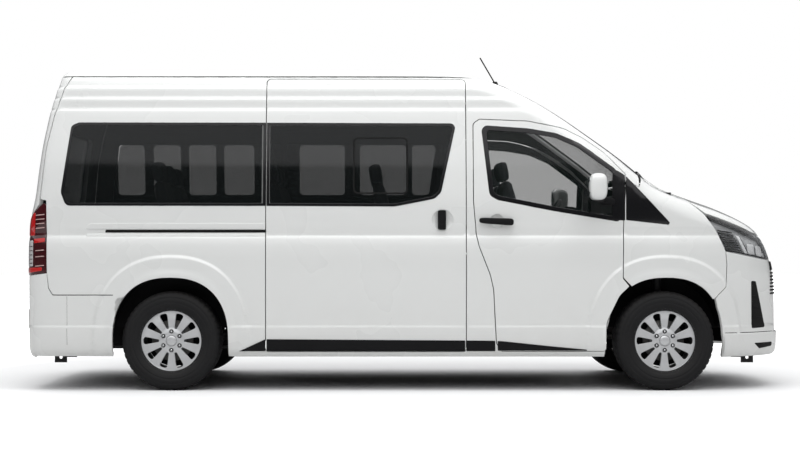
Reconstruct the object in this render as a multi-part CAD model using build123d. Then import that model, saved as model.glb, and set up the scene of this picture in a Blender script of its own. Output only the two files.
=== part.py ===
"""A high-roof passenger van, in millimetres.

Frame: +X towards the front bumper, +Y towards the vehicle's left side, +Z up. The origin is on the
ground, under the middle of the overall box. The body is one hollow form, and every outer panel is a
piece of its wall, cut out where the real panel gaps run. Doors are as thick as the whole door.
"""
from build123d import *
import math
import os

os.makedirs("parts", exist_ok=True)

# Driving dimensions
LENGTH = 5570.0
FRONT_OVERHANG = 945.0
REAR_OVERHANG = 1075.0
TYRE_RADIUS = 357.0
TYRE_WIDTH = 235.0
BEAD_RADIUS = 216.0
FLANGE_RADIUS = 231.0
HALF_WIDTH = 962.0
FLARE_PROUD = 13.0
TYRE_INSET = 40.0
ROOF_HEIGHT = 2340.0
SILL_HEIGHT = 243.0
DOOR_THICKNESS = 84.0
SKIN_THICKNESS = 34.0
PANEL_GAP = 6.0
DOOR_TAPER = 24.0
SEAT_CLEARANCE = 0.3
GLASS_DEPTH = 4.0
GLASS_THICKNESS = 8.0
FLOOR_Z = 560.0
FLOOR_THICKNESS = 30.0
RAIL_Y = 410.0
STEER_OFFSET = 40.0

FRONT_X = LENGTH / 2
REAR_X = -LENGTH / 2
FRONT_AXLE_X = FRONT_X - FRONT_OVERHANG
REAR_AXLE_X = REAR_X + REAR_OVERHANG
AXLE_Z = TYRE_RADIUS
FLARE_Y = HALF_WIDTH + FLARE_PROUD
WHEEL_Y = FLARE_Y - TYRE_INSET - TYRE_WIDTH / 2

# Places along the body that several outlines share
WINDOW_SILL_Z = 1336.0
WINDOW_TOP_Z = 1926.0
WINDOW_SILL_Y = HALF_WIDTH - 14
WINDOW_TOP_Y = HALF_WIDTH - 77
CANTRAIL_Z = 2184.0
CANTRAIL_Y = HALF_WIDTH - 122
SLIDING_REAR_X = -1026.0
SLIDING_FRONT_X = 407.0
NOSE_AXIS_X = -1200.0
JOIN_X = -1150.0
ARCH_HALF_WIDTH = 415.0
ARCH_HEIGHT = 455.0
ROOF_SEAM_Z = 2276.0
COWL_X = 1869.0
COWL_Z = 1545.0
LAMP_INNER_Y = 740.0
GRILLE_Y = 474.0


def round_corners(corners):
    """A closed wire in XY from rows of (x, y, corner radius)."""
    count = len(corners)
    points = [Vector(c[0], c[1]) for c in corners]
    starts, ends, middles = [], [], []
    for i in range(count):
        here, radius = points[i], corners[i][2]
        back = (points[i - 1] - here).normalized()
        ahead = (points[(i + 1) % count] - here).normalized()
        opening = math.radians(back.get_angle(ahead))
        if radius <= 0 or math.pi - opening < 1e-4:
            starts.append(here)
            ends.append(here)
            middles.append(None)
            continue
        room = 0.499 * min((points[i - 1] - here).length, (points[(i + 1) % count] - here).length)
        reach = min(radius / math.tan(opening / 2), room)
        radius = reach * math.tan(opening / 2)
        starts.append(here + back * reach)
        ends.append(here + ahead * reach)
        bisector = (back + ahead).normalized()
        middles.append(here + bisector * (radius / math.sin(opening / 2) - radius))
    edges = []
    for i in range(count):
        if middles[i] is not None:
            edges.append(Edge.make_three_point_arc(starts[i], middles[i], ends[i]))
        following = starts[(i + 1) % count]
        if (following - ends[i]).length > 1e-6:
            edges.append(Edge.make_line(ends[i], following))
    return Wire(edges)


def grow(corners, distance):
    """The same outline moved outwards by distance all round, or inwards where it is negative."""
    count = len(corners)
    area = sum(
        corners[i - 1][0] * corners[i][1] - corners[i][0] * corners[i - 1][1] for i in range(count)
    )
    turn = 1 if area > 0 else -1
    moved = []
    for i in range(count):
        x, y, radius = corners[i]
        bx, by = x - corners[i - 1][0], y - corners[i - 1][1]
        ax, ay = corners[(i + 1) % count][0] - x, corners[(i + 1) % count][1] - y
        bl, al = math.hypot(bx, by), math.hypot(ax, ay)
        n1 = (turn * by / bl, -turn * bx / bl)
        n2 = (turn * ay / al, -turn * ax / al)
        share = distance / (1 + n1[0] * n2[0] + n1[1] * n2[1])
        convex = turn * (bx * ay - by * ax) > 0
        new_radius = radius + distance if convex else radius - distance
        if radius <= 0:
            new_radius = 0
        moved.append((x + (n1[0] + n2[0]) * share, y + (n1[1] + n2[1]) * share, max(new_radius, 0)))
    return moved


def along_y(corners, y_from, y_to):
    """A prism whose outline is in side view (x, z)."""
    plane = Plane(origin=(0, y_from, 0), x_dir=(1, 0, 0), z_dir=(0, -1, 0))
    return Solid.extrude(Face(plane * round_corners(corners)), Vector(0, y_to - y_from, 0))


def along_x(corners, x_from, x_to):
    """A prism whose outline is in end view (y, z)."""
    plane = Plane(origin=(x_from, 0, 0), x_dir=(0, 1, 0), z_dir=(1, 0, 0))
    return Solid.extrude(Face(plane * round_corners(corners)), Vector(x_to - x_from, 0, 0))


def along_z(corners, z_from, z_to):
    """A prism whose outline is in plan (x, y)."""
    plane = Plane(origin=(0, 0, z_from), x_dir=(1, 0, 0), z_dir=(0, 0, 1))
    return Solid.extrude(Face(plane * round_corners(corners)), Vector(0, 0, z_to - z_from))


def tapered_along_y(corners, y_from, y_to, inset):
    """A side-view prism that is smaller by inset all round at y_to."""
    near = Plane(origin=(0, y_from, 0), x_dir=(1, 0, 0), z_dir=(0, -1, 0))
    far = Plane(origin=(0, y_to, 0), x_dir=(1, 0, 0), z_dir=(0, -1, 0))
    wires = [near * round_corners(corners), far * round_corners(grow(corners, -inset))]
    return Solid.make_loft(wires, ruled=True)


def block(x0, x1, y0, y1, z0, z1):
    """A box from its two corners."""
    size = (abs(x1 - x0), abs(y1 - y0), abs(z1 - z0))
    return Pos((x0 + x1) / 2, (y0 + y1) / 2, (z0 + z1) / 2) * Solid.make_box(*size).translate(
        Vector(-size[0] / 2, -size[1] / 2, -size[2] / 2)
    )


def rod_y(x, z, radius, y0, y1):
    """A cylinder along Y."""
    plane = Plane(origin=(x, min(y0, y1), z), z_dir=(0, 1, 0))
    return Solid.make_cylinder(radius, abs(y1 - y0), plane)


def rod_z(x, y, radius, z0, z1):
    """A cylinder along Z."""
    return Solid.make_cylinder(radius, abs(z1 - z0), Plane(origin=(x, y, min(z0, z1))))


def rod_x(y, z, radius, x0, x1):
    """A cylinder along X."""
    plane = Plane(origin=(min(x0, x1), y, z), z_dir=(1, 0, 0))
    return Solid.make_cylinder(radius, abs(x1 - x0), plane)


def mirrored(shape):
    """The same piece on the other side of the vehicle."""
    return shape.mirror(Plane.XZ)


def both(shape):
    """A piece and its mirror image, as solids that share a node."""
    return Compound(list(shape.solids()) + list(mirrored(shape).solids()))


def combine(first, *others):
    """One solid from several that touch or overlap."""
    result = first
    for other in others:
        result = result.fuse(other) if not isinstance(result, (list, ShapeList)) else result[0].fuse(other)
    return whole(result)


def whole(shape):
    """The result of a boolean as one shape."""
    if isinstance(shape, (list, ShapeList)):
        solids = [s for item in shape for s in item.solids()]
        return solids[0] if len(solids) == 1 else Compound(solids)
    return shape


def common(first, second):
    return whole(first.intersect(second))


def less(first, *tools):
    result = first
    for tool in tools:
        result = whole(result.cut(tool))
    return result


def biggest(shape):
    """The largest solid of a boolean's result, without the offcuts."""
    return max(shape.solids(), key=lambda s: s.volume)


def write(name, shape):
    export_step(shape, f"parts/{name}.step")


# Side profile on the centre line, as rows of (x, z, corner radius), from the tail's foot over the roof
TAIL_PROFILE = [
    (REAR_X + 6, SILL_HEIGHT, 0),
    (REAR_X, 700, 900),
    (REAR_X + 6, 1170, 400),
    (REAR_X + 62, 1400, 500),
    (REAR_X + 128, 1880, 900),
    (REAR_X + 222, 2250, 40),
    (REAR_X + 218, 2290, 20),
    (REAR_X + 278, ROOF_HEIGHT, 60),
    (JOIN_X, ROOF_HEIGHT, 0),
    (JOIN_X, SILL_HEIGHT, 0),
]
NOSE_PROFILE = [
    (NOSE_AXIS_X, SILL_HEIGHT, 0),
    (NOSE_AXIS_X, ROOF_HEIGHT, 0),
    (150, ROOF_HEIGHT, 2500),
    (560, ROOF_HEIGHT - 38, 1300),
    (850, ROOF_HEIGHT - 113, 1000),
    (1340, 1935, 2200),
    (1850, 1540, 400),
    (2380, 1345, 1200),
    (2610, 1200, 380),
    (2720, 1010, 400),
    (FRONT_X - 8, 760, 600),
    (FRONT_X, SILL_HEIGHT, 0),
]
# End view of the right half, as rows of (distance from the centre line, z, corner radius)
SIDE_SECTION = [
    (HALF_WIDTH - 60, SILL_HEIGHT, 8),
    (HALF_WIDTH - 24, SILL_HEIGHT + 22, 12),
    (HALF_WIDTH - 6, 372, 200),
    (HALF_WIDTH - 3, 455, 6),
    (HALF_WIDTH - 11, 482, 20),
    (HALF_WIDTH, 880, 700),
    (HALF_WIDTH - 6, 1030, 200),
    (HALF_WIDTH - 24, 1112, 14),
    (HALF_WIDTH - 17, 1180, 60),
    (WINDOW_SILL_Y, WINDOW_SILL_Z, 300),
    (WINDOW_TOP_Y, WINDOW_TOP_Z, 600),
    (HALF_WIDTH - 88, 2018, 8),
    (HALF_WIDTH - 100, 2036, 8),
    (HALF_WIDTH - 102, 2098, 8),
    (HALF_WIDTH - 114, 2116, 8),
    (CANTRAIL_Y, CANTRAIL_Z, 12),
    (HALF_WIDTH - 138, 2226, 50),
    (HALF_WIDTH - 192, 2286, 90),
    (HALF_WIDTH - 320, ROOF_HEIGHT - 22, 900),
]
# The same form without its steps, for the inside of the wall
PLAIN_SECTION = [
    (HALF_WIDTH - 24, SILL_HEIGHT, 0),
    (HALF_WIDTH - 4, 480, 0),
    (HALF_WIDTH - 4, 1030, 0),
    (WINDOW_SILL_Y, WINDOW_SILL_Z, 0),
    (CANTRAIL_Y - 4, CANTRAIL_Z, 0),
    (HALF_WIDTH - 200, 2286, 60),
    (HALF_WIDTH - 320, ROOF_HEIGHT - 22, 900),
]
# Plan of the right half, as rows of (x, distance from the centre line, corner radius)
PLAN = [
    (REAR_X - 100, 700, 0),
    (REAR_X + 30, 800, 120),
    (REAR_X + 110, FLARE_Y - 50, 150),
    (REAR_X + 260, FLARE_Y + 8, 300),
    (FRONT_AXLE_X + 60, FLARE_Y + 8, 1500),
    (FRONT_AXLE_X + 480, FLARE_Y - 62, 700),
    (FRONT_AXLE_X + 740, FLARE_Y - 250, 350),
    (FRONT_X - 30, 470, 500),
    (FRONT_X + 100, 0, 0),
]


def closed_section(rows):
    """The end view's full outline from its right half."""
    right = [(-y, z, r) for y, z, r in rows]
    left = [(y, z, r) for y, z, r in reversed(rows)]
    return right + [(0, ROOF_HEIGHT + 2, 0)] + left


def closed_plan(rows):
    right = [(x, -y, r) for x, y, r in rows]
    left = [(x, y, r) for x, y, r in reversed(rows) if y > 0]
    return right + left


def body_form(section_rows, inset):
    """The van's solid outer form, moved in by inset on every side except the open underside."""
    nose, tail, section, plan = NOSE_PROFILE, TAIL_PROFILE, closed_section(section_rows), closed_plan(PLAN)
    if inset:
        nose = lowered([(NOSE_AXIS_X, z, r) if x < JOIN_X else (x, z, r) for x, z, r in grow(nose, -inset)])
        tail = lowered([(JOIN_X, z, r) if x > JOIN_X - inset - 1 else (x, z, r)
                        for x, z, r in grow(tail, -inset)])
        section = lowered(grow(section, -inset))
        plan = grow(plan, -inset)
    side_view = Plane(origin=(0, 0, 0), x_dir=(1, 0, 0), z_dir=(0, -1, 0))
    nose_axis = Axis((NOSE_AXIS_X, 0, 0), (0, 0, 1))
    nose_face = Face(side_view * round_corners(nose)).rotate(nose_axis, -90)
    nose_solid = Solid.revolve(nose_face, 180, nose_axis)
    ahead = block(JOIN_X, FRONT_X + 200, -1500, 1500, 0, 2600)
    cross = common(along_x(section, REAR_X - 150, FRONT_X + 150), along_z(plan, -200, 2600))
    front = common(common(nose_solid, ahead), cross)
    rear = common(along_y(tail, -1500, 1500), cross)
    return combine(front, rear)


def lowered(rows):
    """An outline whose foot goes well below the sill, so that it cuts right through."""
    return [(x, z - 350 if z < SILL_HEIGHT + 200 else z, 0 if z < SILL_HEIGHT + 200 else r)
            for x, z, r in rows]



OUTER = body_form(SIDE_SECTION, 0)
SKIN = body_form(PLAIN_SECTION, SKIN_THICKNESS)
INNER = body_form(PLAIN_SECTION, DOOR_THICKNESS)
GLASS_FACE = body_form(PLAIN_SECTION, GLASS_DEPTH)
GLASS_BACK = body_form(PLAIN_SECTION, GLASS_DEPTH + GLASS_THICKNESS)

OUT = 1100.0
RIGHT_HALF = block(REAR_X - 50, FRONT_X + 50, -OUT, 0, 0, 2600)


def region(corners, y_from=-OUT, y_to=0.0):
    """The part of the outer form inside a side-view outline, on the right half."""
    return common(OUTER, along_y(corners, y_from, y_to))


def glazing(opening):
    """The glass that fills an opening."""
    return less(common(GLASS_FACE, opening), GLASS_BACK)


def arch_outline(axle_x, margin=0.0):
    """A wheel arch in side view, as an oval open below."""
    a, b = ARCH_HALF_WIDTH + margin, ARCH_HEIGHT + margin
    rows = [(-a, -AXLE_Z - 50, 0), (-a, 0.268 * b, 400), (-0.732 * a, 0.732 * b, 400), (-0.268 * a, b, 400),
            (0.268 * a, b, 400), (0.732 * a, 0.732 * b, 400), (a, 0.268 * b, 400), (a, -AXLE_Z - 50, 0)]
    return [(axle_x + x, AXLE_Z + z, r) for x, z, r in rows]


def flare(axle_x, limits):
    """The raised lip round a wheel arch, kept to a side-view box (x0, x1, z0, z1)."""
    ring = less(along_y(arch_outline(axle_x, 96), -FLARE_Y, -HALF_WIDTH + SKIN_THICKNESS - 6),
                along_y(arch_outline(axle_x), -OUT, 0))
    x0, x1, z0, z1 = limits
    return common(ring, block(x0, x1, -OUT, 0, z0, z1))


FRONT_ARCH = along_y(arch_outline(FRONT_AXLE_X), -OUT, OUT)
REAR_ARCH = along_y(arch_outline(REAR_AXLE_X), -OUT, OUT)

# Side-view outlines, as rows of (x, z, corner radius)
FRONT_DOOR = [
    (664, 286, 20), (1410, 286, 20), (1410, 490, 200), (1506, 686, 150), (1574, 750, 8), (1528, 806, 20),
    (1536, 1203, 60), (1552, 1556, 10), (1405, 1712, 200), (1258, 1815, 300), (1109, 1888, 300),
    (854, 1938, 300), (508, 1952, 34), (464, 1920, 30), (464, 1368, 60), (484, 1128, 200),
    (504, 1037, 200), (583, 836, 300), (608, 727, 200), (628, 344, 60),
]
FRONT_DOOR_WINDOW = [
    (592, 1412, 45), (640, 1384, 60), (1035, 1306, 300), (1496, 1230, 14), (1508, 1540, 14),
    (1457, 1592, 60), (1219, 1766, 200), (1053, 1838, 200), (852, 1872, 200), (536, 1894, 34),
]
CORNER_WINDOW = [(1560, 1234, 10), (1842, 1200, 12), (1560, 1508, 10)]
SLIDING_DOOR = [
    (SLIDING_REAR_X, 284, 20), (SLIDING_FRONT_X, 284, 20),
    (SLIDING_FRONT_X, 2250, 30), (SLIDING_REAR_X, 2250, 30),
]
SLIDING_WINDOW = [
    (-1000, WINDOW_SILL_Z + 8, 15), (-101, WINDOW_SILL_Z, 200), (172, 1390, 60), (214, 1428, 40),
    (328, WINDOW_TOP_Z - 12, 25), (-1000, WINDOW_TOP_Z - 8, 15),
]
QUARTER_WINDOW = [
    (-2455, WINDOW_SILL_Z + 8, 25), (-1058, WINDOW_SILL_Z + 8, 12), (-1058, WINDOW_TOP_Z - 8, 12),
    (-2376, WINDOW_TOP_Z - 4, 20), (-2424, 1904, 30), (-2490, 1425, 60),
]
TAILGATE_LINE = [(-2448, ROOF_SEAM_Z - PANEL_GAP), (-2499, 2184), (-2565, 1981), (-2620, 1742), (-2657, 1380)]
LAMP_FRONT = [(-2598, 1366, 0), (-2594, 846, 0)]
LAMP_SIDE = [*LAMP_FRONT, (-2900, 792, 0), (-2900, 1195, 0), (-2736, 1256, 20)]
REAR_BUMPER_SIDE = [
    (-2050, 200, 0), (-1960, 681, 0), (-2557, 681, 15), (-2588, 733, 10), (-2594, 846, 0),
    (-2900, 792, 0), (-2900, 200, 0),
]
PILLAR_FOOT = [(1560, 1512, 0), (1655, 1464, 0), (1694, COWL_Z, 0)]
BUMPER_SEAM = [(2280, 1002, 0), (2286, 910, 100), (2281, 746, 40), (2196, 664, 0)]
FENDER_SIDE = [
    (1588, 757, 0), (1534, 812, 10), (1542, 1203, 0), (1549, 1300, 0), *PILLAR_FOOT,
    (COWL_X, 1446, 10), (2001, 1380, 30), (2129, 1262, 10), (2217, 1140, 300),
    *BUMPER_SEAM, (1840, 500, 0),
]
HEADLAMP_SIDE = [
    (2135, 1268, 8), (2223, 1140, 300), (2286, 1001, 0), (2575, 948, 0), (2900, 918, 0),
    (2900, 1078, 0), (2640, 1096, 60), (2519, 1132, 60),
]
BONNET_SIDE = [
    (COWL_X + 6, 1700, 0), (COWL_X + 6, 1450, 8), (2003, 1388, 30), (2137, 1276, 12), (2521, 1139, 60),
    (2642, 1103, 60), (2900, 1085, 0), (2900, 1700, 0),
]
FRONT_BUMPER_SIDE = [
    (2275, 200, 0), *BUMPER_SEAM[::-1], (2575, 948, 0), (2900, 918, 0), (2900, 200, 0),
]
BODY_SIDE = [
    (TAILGATE_LINE[0][0] + 8, ROOF_SEAM_Z, 0), (TAILGATE_LINE[1][0] + 8, TAILGATE_LINE[1][1], 200),
    (TAILGATE_LINE[2][0] + 7, TAILGATE_LINE[2][1], 600), (TAILGATE_LINE[3][0] + 6, TAILGATE_LINE[3][1], 600),
    (TAILGATE_LINE[4][0] + 6, TAILGATE_LINE[4][1], 30), (TAILGATE_LINE[4][0] + 6, 1330, 4), (-2598, 1372, 0),
    LAMP_FRONT[1], (-2582, 736, 10), (-2553, 687, 15), (-1990, 687, 0), (-1760, 420, 0),
    (-1760, SILL_HEIGHT - 50, 0), (1403, SILL_HEIGHT - 50, 0), (1403, 400, 0), (1480, 760, 0),
    (1480, 1300, 0), (1545, 1512, 0), *PILLAR_FOOT, (1980, COWL_Z, 0), (1980, ROOF_SEAM_Z, 0),
]
WINDSCREEN_FRONT = [(-806, COWL_Z, 60), (806, COWL_Z, 60), (690, ROOF_SEAM_Z, 40), (-690, ROOF_SEAM_Z, 40)]
REAR_WINDOW = [(-705, 1400, 60), (705, 1400, 60), (640, 1930, 60), (-640, 1930, 60)]

WINDSCREEN_OPENING = along_x(WINDSCREEN_FRONT, 500, FRONT_X)
REAR_WINDOW_OPENING = along_x(REAR_WINDOW, REAR_X - 50, REAR_X + 500)

# Front doors: each is the full wall, hinged along the front edge of its outer face
door_cut = tapered_along_y(grow(FRONT_DOOR, PANEL_GAP), -HALF_WIDTH - 20, -HALF_WIDTH + 225, DOOR_TAPER)
door_form = tapered_along_y(FRONT_DOOR, -HALF_WIDTH - 20, -HALF_WIDTH + 225, DOOR_TAPER)
front_window_opening = along_y(FRONT_DOOR_WINDOW, -OUT, 0)
door = biggest(less(common(OUTER, door_form), INNER, front_window_opening, FRONT_ARCH))
door_window = biggest(glazing(front_window_opening))

# Mirrors: an arm from the door and a closed housing with its glass on the rear face
MIRROR_X, MIRROR_Z, MIRROR_Y = 1330.0, 1455.0, 1070.0
mirror_head = Solid.extrude(
    Face(Plane(origin=(MIRROR_X - 62, -MIRROR_Y, MIRROR_Z), x_dir=(0, 1, 0), z_dir=(1, 0, 0))
         * round_corners([(-78, -96, 40), (78, -96, 40), (78, 96, 40), (-78, 96, 40)])),
    Vector(128, 0, 0),
)
mirror_head = mirror_head.fillet(26, mirror_head.faces().sort_by(Axis.X)[-1].edges())
mirror_arm = along_y([(1350, 1360, 12), (1500, 1330, 14), (1500, 1372, 12), (1350, 1412, 12)], -MIRROR_Y + 60, -900)
mirror_arm = less(mirror_arm, GLASS_FACE)
mirror_arm = biggest(mirror_arm)
door_mirror = whole(mirror_head.fuse(mirror_arm))
HANDLE = [(499, 1196, 16), (743, 1190, 20), (743, 1228, 20), (499, 1240, 16)]
handle_bar = along_y(HANDLE, -HALF_WIDTH - 24, -HALF_WIDTH - 2)
handle_posts = [block(x, x + 26, -HALF_WIDTH - 4, -HALF_WIDTH + 40, 1202, 1226) for x in (512, 704)]
door_handle = less(combine(handle_bar, *handle_posts), OUTER)
door_handle = biggest(door_handle)

for side, place in (("right", lambda s: s), ("left", mirrored)):
    write(f"door_{side}_panel", place(door))
    write(f"door_{side}_window", place(door_window))
    write(f"door_{side}_mirror", place(door_mirror))
    write(f"door_{side}_handle", place(door_handle))

# Body sides: the right one has the sliding door's opening, the left one is a fixed panel
slide_cut = along_y(grow(SLIDING_DOOR, PANEL_GAP), -OUT, 0)
slide_form = along_y(SLIDING_DOOR, -OUT, 0)
CABIN_CORE = block(REAR_X + 400, FRONT_AXLE_X - 100, -LAMP_INNER_Y + 100, LAMP_INNER_Y - 100, 0, ROOF_SEAM_Z)
slide_window_opening = along_y(SLIDING_WINDOW, -OUT, 0)
quarter_opening = along_y(QUARTER_WINDOW, -OUT, 0)
corner_opening = along_y(CORNER_WINDOW, -OUT, 0)
rear_flare = flare(REAR_AXLE_X, (REAR_AXLE_X - 600, REAR_AXLE_X + 600, 687, 1100))
rear_flare_front = flare(REAR_AXLE_X, (REAR_AXLE_X + 100, REAR_AXLE_X + 600, SILL_HEIGHT + 20, 690))
side_stock = less(region(BODY_SIDE), INNER, door_cut, REAR_ARCH, FRONT_ARCH, WINDSCREEN_OPENING)
side_stock = less(combine(side_stock, rear_flare, rear_flare_front), quarter_opening,
                  block(REAR_X, REAR_X + 450, -LAMP_INNER_Y, 10, 0, ROOF_SEAM_Z),
                  CABIN_CORE)
side_left = biggest(less(side_stock, slide_window_opening))
side_right = biggest(less(side_stock, slide_cut))
write("body_side_right", side_right)
write("body_side_left", mirrored(side_left))

# Sliding door, its window, handle and the rail behind it
slide_door = biggest(less(common(OUTER, slide_form), INNER, slide_window_opening, CABIN_CORE))
RECESS = [(153, 1150, 12), (326, 1150, 12), (326, 1300, 12), (153, 1300, 12)]
slide_door = less(slide_door, along_y(RECESS, -OUT, -HALF_WIDTH + 50))
write("sliding_door_panel", slide_door)
write("sliding_door_window", biggest(glazing(slide_window_opening)))
write("sliding_door_handle", combine(
    along_y([(206, 1156, 10), (264, 1156, 10), (264, 1294, 10), (206, 1294, 10)], -HALF_WIDTH + 6, -HALF_WIDTH + 30),
    block(216, 254, -HALF_WIDTH + 29, -HALF_WIDTH + 50, 1200, 1250),
))
RAIL = [(-2318, 1136, 6), (-2302, 1128, 6), (SLIDING_REAR_X - 12, 1128, 6), (SLIDING_REAR_X - 12, 1156, 6),
        (-2318, 1156, 6)]
write("slide_rail", biggest(less(along_y(RAIL, -HALF_WIDTH - 6, -HALF_WIDTH + 60), OUTER)))

windows = [biggest(glazing(quarter_opening)), biggest(glazing(corner_opening))]
left_windows = [mirrored(w) for w in windows] + [mirrored(biggest(glazing(slide_window_opening)))]
write("side_windows", Compound(windows + left_windows))

# Roof with the windscreen's header, and the windscreen
roof_stock = less(OUTER, block(REAR_X - 50, FRONT_X + 50, -OUT, OUT, 0, ROOF_SEAM_Z), INNER)
roof = biggest(less(roof_stock, block(900, FRONT_X, -OUT, OUT, 0, 2600)))
gate_hinges = [block(REAR_X + 250, REAR_X + 290, y, y + 60, TAILGATE_LINE[0][1] + SEAT_CLEARANCE, ROOF_SEAM_Z + 20)
               for y in (-480, 420)]
write("roof_panel", combine(roof, *gate_hinges))
write("windscreen", biggest(glazing(less(WINDSCREEN_OPENING, block(-3000, 560, -OUT, OUT, 0, 2600)))))

# Front fenders, cowl and bulkhead
fender = less(region(FENDER_SIDE), SKIN, FRONT_ARCH, WINDSCREEN_OPENING, corner_opening,
              block(1600, COWL_X + 5, -800, 0, 1300, 1700))
fender_flare = common(flare(FRONT_AXLE_X, (1400, 2190, 668, 1100)), along_y(FENDER_SIDE, -OUT, 0))
hinge_leaves = [
    less(block(1515, 1585, -HALF_WIDTH + 12, -HALF_WIDTH + SKIN_THICKNESS - 2, z, z + 60),
         tapered_along_y(grow(FRONT_DOOR, SEAT_CLEARANCE), -HALF_WIDTH - 20, -HALF_WIDTH + 225, DOOR_TAPER))
    for z in (880, 1080)
]
fender = biggest(combine(biggest(fender), fender_flare, *hinge_leaves))
write("front_fenders", Compound([fender, mirrored(fender)]))
cowl = less(common(OUTER, block(1695, COWL_X, -798, 798, 1400, COWL_Z)), SKIN)
write("cowl_panel", biggest(cowl))

# Bonnet
bonnet = biggest(less(common(OUTER, along_y(BONNET_SIDE, -OUT, OUT)), SKIN))
hinges = [block(COWL_X + 12, COWL_X + 34, y, y + 60, 1430 + SEAT_CLEARANCE, 1478) for y in (-690, 630)]
write("bonnet_panel", combine(bonnet, *hinges))

# Headlamps, front bumper and grille
lamp_stock = less(region(HEADLAMP_SIDE), INNER)
headlamp = biggest(less(lamp_stock, block(1500, FRONT_X + 10, -GRILLE_Y - 8, 10, 0, 2000)))
write("headlamps", both(headlamp))
GRILLE_FRONT = [(-GRILLE_Y + 60, 480, 40), (GRILLE_Y - 60, 480, 40), (GRILLE_Y, 1075, 30), (-GRILLE_Y, 1075, 30)]
grille_opening = along_x(GRILLE_FRONT, 2200, FRONT_X + 50)
bumper = common(OUTER, along_y(FRONT_BUMPER_SIDE, -OUT, OUT))
bumper = less(bumper, SKIN, FRONT_ARCH, grille_opening)
write("front_bumper", biggest(bumper))
grille_form = less(common(body_form(PLAIN_SECTION, 10), grille_opening), body_form(PLAIN_SECTION, 46))
grille_form = less(grille_form, block(1500, FRONT_X + 10, -OUT, OUT, 1078, 2000))
slots = [block(2300, FRONT_X + 10, -GRILLE_Y + 90, GRILLE_Y - 90, z, z + 46) for z in range(530, 1030, 84)]
write("grille", biggest(less(grille_form, *slots)))

# Tailgate, hinged at the rear edge of the roof, with its window
TAILGATE_FORM = [
    (TAILGATE_LINE[0][0], TAILGATE_LINE[0][1], 46), (TAILGATE_LINE[1][0], TAILGATE_LINE[1][1], 200),
    (TAILGATE_LINE[2][0], TAILGATE_LINE[2][1], 600), (TAILGATE_LINE[3][0], TAILGATE_LINE[3][1], 600),
    (TAILGATE_LINE[4][0], TAILGATE_LINE[4][1], 10), (TAILGATE_LINE[4][0], 1334, 4), (-2739, 1266, 20),
    (-2900, 1205, 0), (-2900, TAILGATE_LINE[0][1], 0),
]
upper_gate = common(OUTER, along_y(TAILGATE_FORM, -OUT, OUT))
lower_gate = common(OUTER, block(REAR_X - 60, REAR_X + 190, -LAMP_INNER_Y + 6, LAMP_INNER_Y - 6, 566, 1420))
gate = less(combine(upper_gate, lower_gate), INNER, REAR_WINDOW_OPENING)
write("tailgate_panel", biggest(gate))
write("tailgate_window", biggest(glazing(REAR_WINDOW_OPENING)))

# Tail lamps and rear bumper
tail_lamp = less(region(LAMP_SIDE), INNER, block(REAR_X - 60, REAR_X + 400, -LAMP_INNER_Y, 10, 0, 2000))
write("tail_lamps", both(biggest(tail_lamp)))
rear_bumper = less(common(OUTER, along_y(REAR_BUMPER_SIDE, -OUT, OUT)), INNER, REAR_ARCH,
                   block(REAR_X - 60, REAR_X + 400, -LAMP_INNER_Y + 2, LAMP_INNER_Y - 2, 560, 900))
rear_bumper = biggest(rear_bumper)
bumper_flare = flare(REAR_AXLE_X, (REAR_AXLE_X - 600, REAR_AXLE_X - 100, SILL_HEIGHT + 20, 681))
rear_bumper = combine(rear_bumper, bumper_flare, mirrored(bumper_flare))
write("rear_bumper", rear_bumper)

# Floor, with tabs that carry the body sides and openings for the wheels
floor_z0, floor_z1 = FLOOR_Z - FLOOR_THICKNESS, FLOOR_Z
slab = common(INNER, block(-2690, 1560, -OUT, OUT, floor_z0, floor_z1))
inner_y = HALF_WIDTH - DOOR_THICKNESS
door_clear = [block(x0, x1, inner_y - 20, OUT, floor_z0 - 1, floor_z1 + 1)
              for x0, x1 in ((-1050, 398), (462, 1560))]
HOUSING_RADIUS = 480.0
housings = [rod_y(REAR_AXLE_X, AXLE_Z, HOUSING_RADIUS, 630, OUT), rod_y(FRONT_AXLE_X, AXLE_Z, HOUSING_RADIUS, 490, OUT)]
floor_cuts = door_clear + [mirrored(c) for c in door_clear] + housings + [mirrored(h) for h in housings]
write("floor_pan", biggest(less(slab, *floor_cuts)))


def wheel_housing(axle_x, y_in, y_out, limit):
    """A half-round liner over one right wheel, with its inner wall."""
    drum = less(rod_y(axle_x, AXLE_Z, HOUSING_RADIUS, -y_out, -y_in),
                rod_y(axle_x, AXLE_Z, HOUSING_RADIUS - 10, -y_out - 1, -y_in - 10))
    drum = less(drum, block(axle_x - 600, axle_x + 600, -OUT, 0, -200, AXLE_Z + 80))
    return biggest(common(drum, limit))


front_housing = wheel_housing(FRONT_AXLE_X, 490, 845, SKIN)
rear_housing = wheel_housing(REAR_AXLE_X, 630, OUT, INNER)
write("wheel_housings", Compound([h for piece in (front_housing, rear_housing) for h in (piece, mirrored(piece))]))

BULKHEAD_X = 1560.0
lower_wall = block(BULKHEAD_X, BULKHEAD_X + 30, -845, 845, floor_z0, 824)
upper_wall = common(SKIN, block(BULKHEAD_X, BULKHEAD_X + 30, -OUT, OUT, 822, 1190))
middle_wall = block(BULKHEAD_X, BULKHEAD_X + 30, -790, 790, 1188, 1400)
shelf = common(SKIN, block(BULKHEAD_X, COWL_X + 40, -790, 790, 1400, 1430))
bulkhead = less(combine(lower_wall, upper_wall, middle_wall, shelf), housings[1], mirrored(housings[1]))
write("bulkhead", biggest(bulkhead))

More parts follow.
